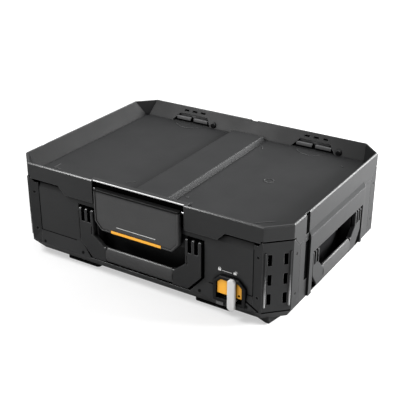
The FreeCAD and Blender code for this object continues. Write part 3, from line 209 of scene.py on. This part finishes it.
def moulded(
    name, dark, light, rough, grain=1500.0, bump=0.05, edge=1.3, specular=0.4, coat=0.0,
    edge_highlight=None, matt_tray_and_wall_shade=False, glow=0.0, painted_shadow_from=None
):
    """Moulded plastic or rubber: mottled colour, uneven gloss, fine grain, soft edges, painted shade in
    crevices; where asked, painted edge highlights, painted shade on the tray walls, a painted shadow above
    a height and a painted glow.
    """
    material, tree, shader = new_material(name)
    place = tree.nodes.new("ShaderNodeTexCoord")
    broad = noise(tree, place, **MOTTLE)
    bevel = tree.nodes.new("ShaderNodeBevel")
    bevel.samples = SHADER_SAMPLES
    bevel.inputs["Radius"].default_value = edge * MM
    soft = bevel.outputs["Normal"]
    occlusion = tree.nodes.new("ShaderNodeAmbientOcclusion")
    occlusion.samples = SHADER_SAMPLES
    occlusion.inputs["Distance"].default_value = NOOK_REACH * MM
    nook = occlusion.outputs["AO"]

    skin = ramp(tree, broad, *NOISE_BAND, dark, light)
    shine = spread(tree, nook, *NOOK_BAND, NOOK_SHINE_SHARE * specular, specular)
    film_shares = []
    if matt_tray_and_wall_shade:
        tray, walls = tray_masks(tree, place)
        # Painted shade: the tray's upright walls darkened towards black
        skin = blend(tree, number(tree, "MULTIPLY", walls, WALL_PAINTED_SHADE_SHARE), skin, BLACK)
        shine = number(tree, "MULTIPLY", shine, spread(tree, tray, 0.0, 1.0, 1.0, TRAY_SHINE_SHARE))
        shine = number(tree, "MULTIPLY", shine, spread(tree, walls, 0.0, 1.0, 1.0, WALL_SHINE_SHARE))
        film_shares.append(spread(tree, tray, 0.0, 1.0, 1.0, 0.0))
    # Painted highlight: outer edges lighter, as if they catch the light
    if edge_highlight is not None:
        skin = blend(tree, edge_highlight_share(tree, soft, nook), skin, edge_highlight)
    # Painted shadow: colour, shine and coat dimmed above a height
    if painted_shadow_from is not None:
        height = axes(tree, place.outputs["Object"])["Z"]
        lit = spread(tree, height, (painted_shadow_from - PAINTED_SHADOW_FADE) * MM, painted_shadow_from * MM, 1.0, PAINTED_SHADOW_SHARE)
        skin = blend(tree, lit, BLACK, skin)
        shine = number(tree, "MULTIPLY", shine, lit)
        film_shares.append(lit)
    # Painted shade: colour darkened in crevices
    skin = blend(tree, spread(tree, nook, *NOOK_BAND, CREVICE_PAINTED_SHADE_SHARE, 1.0), BLACK, skin)

    tree.links.new(skin, shader.inputs["Base Color"])
    # Painted light: the colour also glows, as if lit
    if glow > 0.0:
        tree.links.new(skin, shader.inputs["Emission Color"])
        shader.inputs["Emission Strength"].default_value = glow
    gloss = spread(tree, broad, *NOISE_BAND, rough - ROUGH_BELOW, rough + ROUGH_ABOVE)
    tree.links.new(gloss, shader.inputs["Roughness"])
    tree.links.new(shine, shader.inputs["Specular IOR Level"])
    relief = tree.nodes.new("ShaderNodeBump")
    relief.inputs["Strength"].default_value = bump
    relief.inputs["Distance"].default_value = GRAIN_HEIGHT * MM
    tree.links.new(noise(tree, place, grain, **GRAIN), relief.inputs["Height"])
    tree.links.new(soft, relief.inputs["Normal"])
    tree.links.new(relief.outputs["Normal"], shader.inputs["Normal"])
    if coat > 0.0:
        film = spread(tree, nook, *NOOK_BAND, 0.0, coat)
        for share in film_shares:
            film = number(tree, "MULTIPLY", film, share)
        tree.links.new(film, shader.inputs["Coat Weight"])
        shader.inputs["Coat Roughness"].default_value = COAT_ROUGHNESS
        tree.links.new(soft, shader.inputs["Coat Normal"])
    return material


STREAK = {"scale": 700.0, "detail": 3.0, "roughness": 0.6}
STREAK_ROUGH = 0.08


def metal(name, dark, light, rough):
    """Steel with fine streaks."""
    material, tree, shader = new_material(name)
    place = tree.nodes.new("ShaderNodeTexCoord")
    streak = noise(tree, place, **STREAK)
    tree.links.new(ramp(tree, streak, *NOISE_BAND, dark, light), shader.inputs["Base Color"])
    gloss = spread(tree, streak, *NOISE_BAND, rough - STREAK_ROUGH, rough + STREAK_ROUGH)
    tree.links.new(gloss, shader.inputs["Roughness"])
    shader.inputs["Metallic"].default_value = 1.0
    return material


# Colours of the painted edge highlights, lighter than the plastics
EDGE_HIGHLIGHT = colour(0.13, 0.13, 0.132)
LATCH_EDGE_HIGHLIGHT = colour(0.1, 0.1, 0.1)
MATERIALS = {
    "shell_plastic": moulded(
        "shell", colour(0.026, 0.0264, 0.027), colour(0.031, 0.0314, 0.032),
        rough=0.38, coat=0.35, edge_highlight=EDGE_HIGHLIGHT,
    ),
    "lid_plastic": moulded(
        "lid", colour(0.026, 0.0264, 0.027), colour(0.031, 0.0314, 0.032),
        rough=0.4, bump=0.015, coat=0.35, edge_highlight=EDGE_HIGHLIGHT, matt_tray_and_wall_shade=True,
    ),
    # Near-white for the painted highlight on the rim over the latch
    "lip_highlight_plastic": moulded(
        "lip_highlight", colour(0.8, 0.8, 0.8), colour(0.9, 0.9, 0.9),
        rough=0.3, edge=0.4,
    ),
    # Near-black sheet for painted shade in gaps, grooves and slits
    "painted_shade_black": moulded(
        "gap", colour(0.0015, 0.0015, 0.0015), colour(0.003, 0.003, 0.003),
        rough=0.9, specular=0.0,
    ),
    "guard_plastic": moulded(
        "guard", colour(0.020, 0.0204, 0.021), colour(0.024, 0.0244, 0.025),
        rough=0.36, coat=0.35, edge_highlight=EDGE_HIGHLIGHT,
    ),
    "latch_plastic": moulded(
        "latch", colour(0.072, 0.0723, 0.073), colour(0.086, 0.0863, 0.087),
        rough=0.42, coat=0.1, edge_highlight=LATCH_EDGE_HIGHLIGHT, painted_shadow_from=LATCH_PAINTED_SHADOW_FROM,
    ),
    "handle_plastic": moulded(
        "handle", colour(0.024, 0.0244, 0.025), colour(0.030, 0.0304, 0.031),
        rough=0.36, coat=0.35, edge_highlight=EDGE_HIGHLIGHT,
    ),
    "grip_rubber": moulded(
        "grip", colour(0.040, 0.040, 0.0405), colour(0.050, 0.050, 0.0505),
        rough=0.45, grain=2400.0, bump=0.3, specular=0.9, coat=0.25,
    ),
    "foot_rubber": moulded(
        "foot", colour(0.012, 0.012, 0.0125), colour(0.018, 0.018, 0.0185),
        rough=0.55, grain=2400.0, bump=0.3,
    ),
    "seal_rubber": moulded(
        "seal", colour(0.018, 0.018, 0.018), colour(0.028, 0.028, 0.028),
        rough=0.6, grain=2400.0, bump=0.3, edge=0.4,
    ),
    # The orange glows a little: painted light
    "orange_plastic": moulded(
        "orange", colour(1.0, 0.43, 0.03), colour(1.0, 0.49, 0.04),
        rough=0.3, grain=1800.0, bump=0.06, edge=0.6, specular=0.6, coat=0.5, glow=0.34,
    ),
    "grey_plastic": moulded(
        "grey", colour(0.86, 0.86, 0.86), colour(0.95, 0.95, 0.95),
        rough=0.38, grain=1800.0, bump=0.06, edge=0.9,
    ),
    "receiver_plastic": moulded(
        "receiver", colour(0.14, 0.14, 0.142), colour(0.19, 0.19, 0.192),
        rough=0.36, bump=0.1, edge=0.8,
    ),
    # Light grey for the guard rods: painted highlight on the ribs
    "rod_highlight_plastic": moulded(
        "rod", colour(0.27, 0.27, 0.272), colour(0.35, 0.35, 0.352),
        rough=0.36, bump=0.1, edge=0.8,
    ),
    "white_inlay": moulded(
        "white", colour(0.91, 0.91, 0.9), colour(0.97, 0.97, 0.96),
        rough=0.5, grain=1800.0, edge=0.1,
    ),
    "cup_plastic": moulded(
        "cup", colour(0.008, 0.008, 0.0085), colour(0.011, 0.011, 0.0115),
        rough=0.55,
    ),
    "black_steel": moulded(
        "screw", colour(0.004, 0.004, 0.004), colour(0.007, 0.007, 0.007),
        rough=0.5, grain=900.0, bump=0.1, edge=0.4, specular=0.1,
    ),
    "steel": metal("steel", colour(0.42, 0.42, 0.43), colour(0.6, 0.6, 0.61), rough=0.34),
}

# Each CAD node wears the look of its slot, apart from these
SPECIAL = {
    "lid_shell": "lid_plastic",
    "front_handle_cup": "cup_plastic",
    "right_handle_cup": "cup_plastic",
    "left_handle_cup": "cup_plastic",
    "lock_frame": "cup_plastic",
}
slot_of = {entry["node"]: entry["material_slot"] for entry in frame["record"]["subparts"]}
for node, thing in frame["nodes"].items():
    look = SPECIAL.get(node, slot_of[node])
    thing.data.materials.clear()
    thing.data.materials.append(MATERIALS[look])


# Makers of pieces
def piece(name, mesh, look, body):
    """A visual piece in the row frame that moves with one body."""
    thing = bpy.data.objects.new(name, mesh)
    bpy.context.scene.collection.objects.link(thing)
    mesh.materials.append(MATERIALS[look])
    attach(thing, body)
    return thing


def prism_mesh(name, outlines, origin, across, up, depth):
    """Flat bars with given outlines on the plane through origin, raised by depth."""
    across = Vector(across).normalized()
    up = Vector(up).normalized()
    out = across.cross(up)
    verts = []
    faces = []
    for outline in outlines:
        first = len(verts)
        count = len(outline)
        for lift in (0.0, depth):
            for a, b in outline:
                verts.append((Vector(origin) + across * a + up * b + out * lift) * MM)
        faces.append([first + i for i in reversed(range(count))])
        faces.append([first + count + i for i in range(count)])
        for i in range(count):
            j = (i + 1) % count
            faces.append([first + i, first + j, first + count + j, first + count + i])
    mesh = bpy.data.meshes.new(name)
    mesh.from_pydata(verts, [], faces)
    return mesh


def bars(name, outlines, plane, depth, look, body):
    """A piece of flat bars on a plane that is given by its origin and two directions."""
    piece(name, prism_mesh(name, outlines, *plane, depth), look, body)


def painted_shade_bars(name, outlines, plane, depth, body):
    """Flat black bars of painted shade, put where a gap, groove or slit lies in shade."""
    bars(name, outlines, plane, depth, "painted_shade_black", body)


def front_plane(y):
    return (0, y, 0), X, Z


def top_plane(z):
    return (0, 0, z), X, Y


def side_plane(x, flip):
    return (flip * x, 0, 0), (0, flip, 0), Z


def corner_plane(x, y, flip, turn):
    """Upright plane across a corner, with the corner's place given for the front right one."""
    return (flip * x, turn * y, 0), (turn, flip, 0), Z


def span(flip, near, far):
    """Two places on one side of the middle, lowest first."""
    return sorted((flip * near, flip * far))


def oblong(a_low, a_high, b_low, b_high):
    return [(a_low, b_low), (a_high, b_low), (a_high, b_high), (a_low, b_high)]


DISC_SIDES = 24


def disc(a, b, radius):
    turn = math.tau / DISC_SIDES
    return [(a + radius * math.cos(turn * i), b + radius * math.sin(turn * i)) for i in range(DISC_SIDES)]


def arc_bars(a, b, radius, width, start, stop, steps):
    """Short bars that follow an arc, from one angle in degrees to another."""
    inner = radius - width / 2
    outer = radius + width / 2
    outlines = []
    for i in range(steps):
        low = math.radians(start + (stop - start) * i / steps)
        high = math.radians(start + (stop - start) * (i + 1) / steps)
        outlines.append([
            (a + inner * math.cos(low), b + inner * math.sin(low)),
            (a + outer * math.cos(low), b + outer * math.sin(low)),
            (a + outer * math.cos(high), b + outer * math.sin(high)),
            (a + inner * math.cos(high), b + inner * math.sin(high)),
        ])
    return outlines


def stroke(a1, b1, a2, b2, width):
    """Bar along a line from one point to another."""
    run = Vector((a2 - a1, b2 - b1))
    side = Vector((-run.y, run.x)).normalized() * width / 2
    return [
        (a1 - side.x, b1 - side.y),
        (a2 - side.x, b2 - side.y),
        (a2 + side.x, b2 + side.y),
        (a1 + side.x, b1 + side.y),
    ]


# Shallow moulding marks on the tray floor: a ring, two bows at the receivers, ticks and dots
TRAY_TOP = 157.0
MARK_DEPTH = 0.5
RING = {"a": 137.5, "b": 9.0, "radius": 8.5, "width": 1.6, "start": 0, "stop": 360, "steps": 28}
BOW = {"b": 190.0, "radius": 34.0, "width": 1.8, "start": 212, "stop": 328, "steps": 14}
BOW_X = 141.0
TICKS = (
    (49.0, 146.0, 55.0, 137.0, 2.0),
    (220.0, 141.0, 226.0, 136.0, 2.0),
    (197.4, -152.2, 222.4, -130.1, 2.4),
    (-231.0, -131.0, -231.0, -150.0, 2.4),
    (-231.0, -150.0, -218.0, -150.0, 2.4),
    (-76.0, -135.0, -63.0, -123.0, 1.8),
)
DOTS = ((51.2, -128.2), (68.4, -145.2))
DOT_RADIUS = 3.0
marks = arc_bars(**RING) + arc_bars(BOW_X, **BOW) + arc_bars(-BOW_X, **BOW)
marks += [stroke(*tick) for tick in TICKS]
marks += [disc(*dot, DOT_RADIUS) for dot in DOTS]
bars("tray_marks", marks, top_plane(TRAY_TOP), MARK_DEPTH, "shell_plastic", "lid_body")

# Plain closed and open padlock signs over the stack lock, joined by a line
PANEL_Y = -203.5
SIGN_DEPTH = 0.25
SIGN_LOW, SIGN_HIGH = 82.6, 86.6
SIGN_SPANS = ((159.0, 164.6), (188.0, 193.6))
SHACKLE_PLACES = (161.8, 192.6)
SHACKLE = {"b": SIGN_HIGH, "radius": 2.1, "width": 0.9, "start": 0, "stop": 180, "steps": 8}
SIGN_LINE = (167.0, 84.0, 185.0, 84.0, 0.8)
signs = [oblong(low, high, SIGN_LOW, SIGN_HIGH) for low, high in SIGN_SPANS]
for centre in SHACKLE_PLACES:
    signs += arc_bars(centre, **SHACKLE)
signs += [stroke(*SIGN_LINE)]
bars("lock_signs", signs, front_plane(PANEL_Y), SIGN_DEPTH, "white_inlay", "base_body")

# Screw heads on the sloping lower band, and the small grey stop under the lock
BAND_PLANE = ((0, -208.5, 28), X, (0, 5, 25))
SCREW_PLACES = ((125.0, 6.0), (215.0, 4.0))
SCREW_RADIUS = 2.6
SCREW_DEPTH = 0.5
STOP_OUTLINE = oblong(157.5, 171.5, 19.5, 26.0)
STOP_Y, STOP_DEPTH = -205.0, 2.6
heads = [disc(flip * a, b, SCREW_RADIUS) for flip in FLIPS for a, b in SCREW_PLACES]
bars("band_screws", heads, BAND_PLANE, SCREW_DEPTH, "black_steel", "base_body")
bars(
    "lock_stop", [STOP_OUTLINE], front_plane(STOP_Y), STOP_DEPTH,
    "receiver_plastic", "base_body"
)

# Painted shade: black sheets deep in the upright grooves of the side walls, where the grooves lie in shade
GROOVE_FRONT, GROOVE_BACK = -129.9, -117.6
GROOVE_SHADE_LOW, GROOVE_SHADE_HIGH = 60.0, 139.9
GROOVE_SHADE_X, GROOVE_SHADE_DEPTH = 272.6, 5.6
LID_GROOVE_SHADE_LOW, LID_GROOVE_SHADE_HIGH = 148.2, 182.5
LID_GROOVE_SHADE_X, LID_GROOVE_SHADE_DEPTH = 276.05, 2.3
for side, flip in SIDES:
    groove = span(flip, GROOVE_FRONT, GROOVE_BACK)
    lower = oblong(*groove, GROOVE_SHADE_LOW, GROOVE_SHADE_HIGH)
    painted_shade_bars("groove_shade_" + side, [lower], side_plane(GROOVE_SHADE_X, flip), GROOVE_SHADE_DEPTH, "base_body")
    upper = oblong(*groove, LID_GROOVE_SHADE_LOW, LID_GROOVE_SHADE_HIGH)
    painted_shade_bars("lid_groove_shade_" + side, [upper], side_plane(LID_GROOVE_SHADE_X, flip), LID_GROOVE_SHADE_DEPTH, "lid_body")

# Painted shade: black strips in the front handle's trench and in the slits over the front corners, where
# these lie in shade
TRENCH_X, TRENCH_HIGH, TRENCH_LOW, TRENCH_WIDTH = 131.1, 128.8, 59.4, 2.6
BEND_X, BEND_HIGH = 131.0, 59.6
BEND_END_X, BEND_LOW, BEND_WIDTH = 105.4, 30.0, 2.2
TRENCH_Y, TRENCH_DEPTH = -200.0, 3.0
SLIT_INNER, SLIT_OUTER = 168.5, 231.0
SLIT_LOW, SLIT_HIGH = 148.0, 155.3
SLIT_Y, SLIT_DEPTH = -198.6, 0.8
CORNER_X, CORNER_Y = 255.3, -184.8
CORNER_HALF, CORNER_DEPTH = 28.0, 0.6
CORNER_LOW, CORNER_HIGH = 157.0, 159.8
trench = []
slits = []
for flip in FLIPS:
    trench.append(stroke(flip * TRENCH_X, TRENCH_HIGH, flip * TRENCH_X, TRENCH_LOW, TRENCH_WIDTH))
    trench.append(stroke(flip * BEND_X, BEND_HIGH, flip * BEND_END_X, BEND_LOW, BEND_WIDTH))
    slits.append(oblong(*span(flip, SLIT_INNER, SLIT_OUTER), SLIT_LOW, SLIT_HIGH))
painted_shade_bars("handle_strip", trench, front_plane(TRENCH_Y), TRENCH_DEPTH, "base_body")
painted_shade_bars("ledge_strip", slits, front_plane(SLIT_Y), SLIT_DEPTH, "base_body")
for side, flip in SIDES:
    strip = oblong(-CORNER_HALF, CORNER_HALF, CORNER_LOW, CORNER_HIGH)
    plane = corner_plane(CORNER_X, CORNER_Y, flip, turn=1)
    painted_shade_bars("corner_strip_" + side, [strip], plane, CORNER_DEPTH, "base_body")

# Painted shade: black strips in the seams along the edges of the front panel
SEAM_Y, SEAM_DEPTH = -203.45, 0.35
SEAM_OUTER, SEAM_INNER = 224.4, 141.0
SEAM_LOW, SEAM_HIGH = 53.0, 139.0
UPRIGHT_SEAM_WIDTH, LEVEL_SEAM_WIDTH = 1.3, 1.1
seam_shades = []
for flip in FLIPS:
    outer = flip * SEAM_OUTER
    seam_shades.append(stroke(outer, SEAM_LOW, outer, SEAM_HIGH, UPRIGHT_SEAM_WIDTH))
    seam_shades.append(stroke(outer, SEAM_LOW, flip * SEAM_INNER, SEAM_LOW, LEVEL_SEAM_WIDTH))
painted_shade_bars("panel_seam_shade", seam_shades, front_plane(SEAM_Y), SEAM_DEPTH, "base_body")

# Painted shade: a black strip for the groove on the lower band, from the lock down to the corner
BAND_GROOVE = stroke(207.5, 16.0, 237.5, 1.6, 2.2)
BAND_GROOVE_DEPTH = 0.4
painted_shade_bars("band_groove_shade", [BAND_GROOVE], BAND_PLANE, BAND_GROOVE_DEPTH, "base_body")

# Rounded rubber sleeves on the three handles, by shares of each grip's box
ROUNDNESS = 2.3
SLEEVE_POINTS = 36
SLEEVE_SHARES = ((-1.0, 0.9), (-0.985, 0.97), (-0.96, 1.0), (0.96, 1.0), (0.985, 0.97), (1.0, 0.9))


def rounded(value):
    """Sine or cosine, swelled towards a square's outline."""
    return math.copysign(abs(value) ** (2 / ROUNDNESS), value)


def sleeve_mesh(node, long_axis, thick_axis):
    """Sleeve that fills the box of a grip node along one axis, with eased ends."""
    low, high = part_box(node)
    middle = (Vector(low) + Vector(high)) / 2
    reach = (Vector(high) - Vector(low)) / 2
    verts = []
    for along, girth in SLEEVE_SHARES:
        for step in range(SLEEVE_POINTS):
            angle = math.tau * step / SLEEVE_POINTS
            spot = middle.copy()
            spot[long_axis] += along * reach[long_axis]
            spot[thick_axis] += girth * rounded(math.cos(angle)) * reach[thick_axis]
            spot.z += girth * rounded(math.sin(angle)) * reach.z
            verts.append(spot)
    faces = []
    rings = len(SLEEVE_SHARES)
    for ring in range(rings - 1):
        base = ring * SLEEVE_POINTS
        top = base + SLEEVE_POINTS
        for step in range(SLEEVE_POINTS):
            other = (step + 1) % SLEEVE_POINTS
            faces.append([base + step, base + other, top + other, top + step])
    last = (rings - 1) * SLEEVE_POINTS
    faces.append(list(range(SLEEVE_POINTS)))
    faces.append([last + step for step in range(SLEEVE_POINTS)])
    mesh = bpy.data.meshes.new(node + "_sleeve")
    mesh.from_pydata(verts, [], faces)
    shape = bmesh.new()
    shape.from_mesh(mesh)
    bmesh.ops.recalc_face_normals(shape, faces=shape.faces)
    shape.to_mesh(mesh)
    shape.free()
    for face in mesh.polygons:
        face.use_smooth = len(face.vertices) < SLEEVE_POINTS
    return mesh


# Each handle with the axis along its grip and the level axis across it
HANDLES = (("front_handle", 0, 1), ("right_handle", 1, 0), ("left_handle", 1, 0))
for handle, long_axis, thick_axis in HANDLES:
    node = handle + "_grip"
    mesh = sleeve_mesh(node, long_axis, thick_axis)
    sleeve = piece(node + "_sleeve", mesh, "grip_rubber", handle + "_body")
    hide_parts(node)

# Painted highlight: a near-white strip along the edge of the rim over the latch
LIP_HALF = 94.0
LIP_LOW, LIP_HIGH = 183.3, 184.95
LIP_Y, LIP_DEPTH = -204.4, 1.6
lip = oblong(-LIP_HALF, LIP_HALF, LIP_LOW, LIP_HIGH)
bars("lip_edge_highlight", [lip], front_plane(LIP_Y), LIP_DEPTH, "lip_highlight_plastic", "lid_body")

# Painted shade: black sheets over the fronts and tops of the lugs between the fingers of the front handle
LUG_Z = 121.0
LUG_GAPS = ((102.3, 109.7), (115.3, 122.7))
LUG_SHADE_DEPTH = 0.3
LUG_SHADE_REACH = 2.8
LUG_SHADE_Y = -206.9
LUG_SHADE_TOP_LIFT = 2.5
LUG_SHADE_TOP_FRONT, LUG_SHADE_TOP_BACK = -207.2, -202.0
lug_front_shades = []
lug_top_shades = []
for flip in FLIPS:
    for near, far in LUG_GAPS:
        gap = span(flip, near, far)
        lug_front_shades.append(oblong(*gap, LUG_Z - LUG_SHADE_REACH, LUG_Z + LUG_SHADE_REACH))
        lug_top_shades.append(oblong(*gap, LUG_SHADE_TOP_FRONT, LUG_SHADE_TOP_BACK))
painted_shade_bars("lug_front_shade", lug_front_shades, front_plane(LUG_SHADE_Y), LUG_SHADE_DEPTH, "base_body")
painted_shade_bars("lug_top_shades", lug_top_shades, top_plane(LUG_Z + LUG_SHADE_TOP_LIFT), LUG_SHADE_DEPTH, "base_body")

# Painted shade: black sheets in the gaps between the fingers of the side handles
AXIS_Z = 99.0
FINGER_SHADE_SPANS = ((82.2, 88.2), (91.8, 97.8))
FINGER_SHADE_DROP, FINGER_SHADE_RISE = 20.5, 0.8
FINGER_SHADE_X, FINGER_SHADE_DEPTH = 281.2, 0.95
finger_gap_shades = []
for near, far in FINGER_SHADE_SPANS:
    for flip in FLIPS:
        finger_gap_shades.append(oblong(*span(flip, near, far), AXIS_Z - FINGER_SHADE_DROP, AXIS_Z + FINGER_SHADE_RISE))
for side, flip in SIDES:
    painted_shade_bars("finger_gap_shade_" + side, finger_gap_shades, side_plane(FINGER_SHADE_X, flip), FINGER_SHADE_DEPTH, side + "_handle_body")

# Light grey rods on the ribs of the corner guards as a painted highlight, and painted shade, a black
# strip, in the seam under each guard
ROD_LOW, ROD_HIGH, ROD_RADIUS = 40.4, 138.2, 1.75
ROD_SEGMENTS, ROD_RINGS = 16, 10
ROD_MIDDLE = 1e-3
ROD_CENTRE_X, ROD_CENTRE_Y = 261.0, -190.5
ROD_ALONG, ROD_OUT = 21.0, 0.2
DIAGONAL = math.sqrt(0.5)
GUARD_X, GUARD_Y = 260.75, -190.75
GUARD_SEAM_HALF, GUARD_SEAM_DEPTH = 24.5, 0.3
GUARD_SEAM_LOW, GUARD_SEAM_HIGH = 28.3, 30.2


def rod_mesh(name, places):
    """Upright rods at the given places in plan, each a ball with its halves pulled apart."""
    mesh = bpy.data.meshes.new(name)
    shape = bmesh.new()
    for x, y in places:
        grown = bmesh.ops.create_uvsphere(
            shape, u_segments=ROD_SEGMENTS, v_segments=ROD_RINGS, radius=ROD_RADIUS * MM
        )
        for vert in grown["verts"]:
            tip = ROD_HIGH if vert.co.z > ROD_MIDDLE * MM else ROD_LOW
            vert.co.z += tip * MM
            vert.co.x += x * MM
            vert.co.y += y * MM
    shape.to_mesh(mesh)
    shape.free()
    for face in mesh.polygons:
        face.use_smooth = True
    return mesh


for side, flip in SIDES:
    for end, turn in ENDS:
        spots = []
        for along in (-ROD_ALONG, ROD_ALONG):
            x = ROD_CENTRE_X + (along + ROD_OUT) * DIAGONAL
            y = ROD_CENTRE_Y + (along - ROD_OUT) * DIAGONAL
            spots.append((flip * x, turn * y))
        name = "guard_rods_" + end + "_" + side
        piece(name, rod_mesh(name, spots), "rod_highlight_plastic", "base_body")
        seam = oblong(-GUARD_SEAM_HALF, GUARD_SEAM_HALF, GUARD_SEAM_LOW, GUARD_SEAM_HIGH)
        plane = corner_plane(GUARD_X, GUARD_Y, flip, turn)
        painted_shade_bars("guard_seam_shade_" + end + "_" + side, [seam], plane, GUARD_SEAM_DEPTH, "base_body")

# White paper floor, which glows for the camera alone so that it looks white and keeps the shadow; the glow
# is painted dimmer near the front and brighter far off, and mirror reflections see a darker grey paper as
# painted shade
FLOOR_HALF = 9.0
PAPER_NOISE = {"scale": 3.0, "detail": 3.0, "roughness": 0.5}
PAPER_DARK, PAPER_LIGHT = colour(0.50, 0.50, 0.50), colour(0.52, 0.52, 0.52)
PAPER_MIRRORED = colour(0.22, 0.22, 0.22)
PAPER_ROUGH, PAPER_SPECULAR = 0.9, 0.1
GLOW_FRONT, GLOW_BACK = -0.7, 0.35
GLOW_AT_FRONT, GLOW_AT_BACK = 0.86, 1.12
RISE_NEAR, RISE_FAR, RISE_MOST = 0.8, 3.2, 1.5


def paper_material():
    material, tree, shader = new_material("paper")
    place = tree.nodes.new("ShaderNodeTexCoord")
    path = tree.nodes.new("ShaderNodeLightPath")
    tint = ramp(tree, noise(tree, place, **PAPER_NOISE), *NOISE_BAND, PAPER_DARK, PAPER_LIGHT)
    # Painted shade in reflections: glossy rays see darker paper
    skin = blend(tree, path.outputs["Is Glossy Ray"], tint, PAPER_MIRRORED)
    tree.links.new(skin, shader.inputs["Base Color"])
    shader.inputs["Roughness"].default_value = PAPER_ROUGH
    shader.inputs["Specular IOR Level"].default_value = PAPER_SPECULAR
    tree.links.new(tint, shader.inputs["Emission Color"])
    depth = axes(tree, place.outputs["Object"])["Y"]
    # Painted shade: glow weaker towards the front, stronger far off
    near = spread(tree, depth, GLOW_FRONT, GLOW_BACK, GLOW_AT_FRONT, GLOW_AT_BACK)
    away = tree.nodes.new("ShaderNodeVectorMath")
    away.operation = "LENGTH"
    tree.links.new(place.outputs["Object"], away.inputs[0])
    rise = spread(tree, away.outputs["Value"], RISE_NEAR, RISE_FAR, 0.0, RISE_MOST)
    glow = number(tree, "MULTIPLY", path.outputs["Is Camera Ray"], number(tree, "ADD", near, rise))
    tree.links.new(glow, shader.inputs["Emission Strength"])
    return material


floor_mesh = bpy.data.meshes.new("floor")
floor_corners = oblong(-FLOOR_HALF, FLOOR_HALF, -FLOOR_HALF, FLOOR_HALF)
floor_mesh.from_pydata([(x, y, 0) for x, y in floor_corners], [], [(0, 1, 2, 3)])
floor_mesh.materials.append(paper_material())
floor = bpy.data.objects.new("floor", floor_mesh)
bpy.context.scene.collection.objects.link(floor)

# Soft light from all round, white for the camera
WORLD_LIGHT, WORLD_SEEN = 0.26, 1.0
world = bpy.data.worlds.new("studio")
bpy.context.scene.world = world
world.use_nodes = True
sky = world.node_tree
sky.nodes["Background"].inputs["Color"].default_value = WHITE
sky_path = sky.nodes.new("ShaderNodeLightPath")
sky_glow = spread(sky, sky_path.outputs["Is Camera Ray"], 0.0, 1.0, WORLD_LIGHT, WORLD_SEEN)
sky.links.new(sky_glow, sky.nodes["Background"].inputs["Strength"])


def lamp(name, place, target, size, power, mirrored=True):
    """Area lamp in metres and watts; one that isn't mirrored makes no glare on glossy faces."""
    data = bpy.data.lights.new(name, "AREA")
    data.shape = "RECTANGLE"
    data.size, data.size_y = size
    data.energy = power
    thing = bpy.data.objects.new(name, data)
    bpy.context.scene.collection.objects.link(thing)
    thing.location = place
    thing.rotation_euler = (Vector(target) - Vector(place)).to_track_quat("-Z", "Y").to_euler()
    thing.visible_glossy = mirrored


MIDDLE = (0, 0, 0.1)
RIGHT_OF_MIDDLE = (0.15, 0, 0.1)
lamp("left_box", place=(-0.70, -0.62, 1.12), target=MIDDLE, size=(0.5, 0.5), power=15.5)
lamp("right_back", place=(0.84, 1.53, 0.96), target=MIDDLE, size=(0.9, 0.9), power=24.0)
lamp(
    "right_box", place=(1.2, 0.55, 0.5), target=RIGHT_OF_MIDDLE, size=(0.7, 0.5), power=49.0,
    mirrored=False
)
lamp("overhead", place=(-0.2, 0.5, 2.0), target=MIDDLE, size=(1.6, 1.6), power=8.0)

# Camera, fitted to the photograph
SENSOR_WIDTH = 36.0
LENS = 77.44
CLIP_END = 50.0
CAMERA_PLACE = (0.78536, -1.25834, 0.79321)
CAMERA_DOWN, CAMERA_TURN = 25.45, 32.1
camera_data = bpy.data.cameras.new("camera")
camera_data.sensor_width = SENSOR_WIDTH
camera_data.lens = LENS
camera_data.clip_end = CLIP_END
camera = bpy.data.objects.new("camera", camera_data)
bpy.context.scene.collection.objects.link(camera)
camera.location = CAMERA_PLACE
camera.rotation_euler = (math.radians(90 - CAMERA_DOWN), 0, math.radians(CAMERA_TURN))
bpy.context.scene.camera = camera
bpy.context.scene.view_settings.view_transform = "Standard"
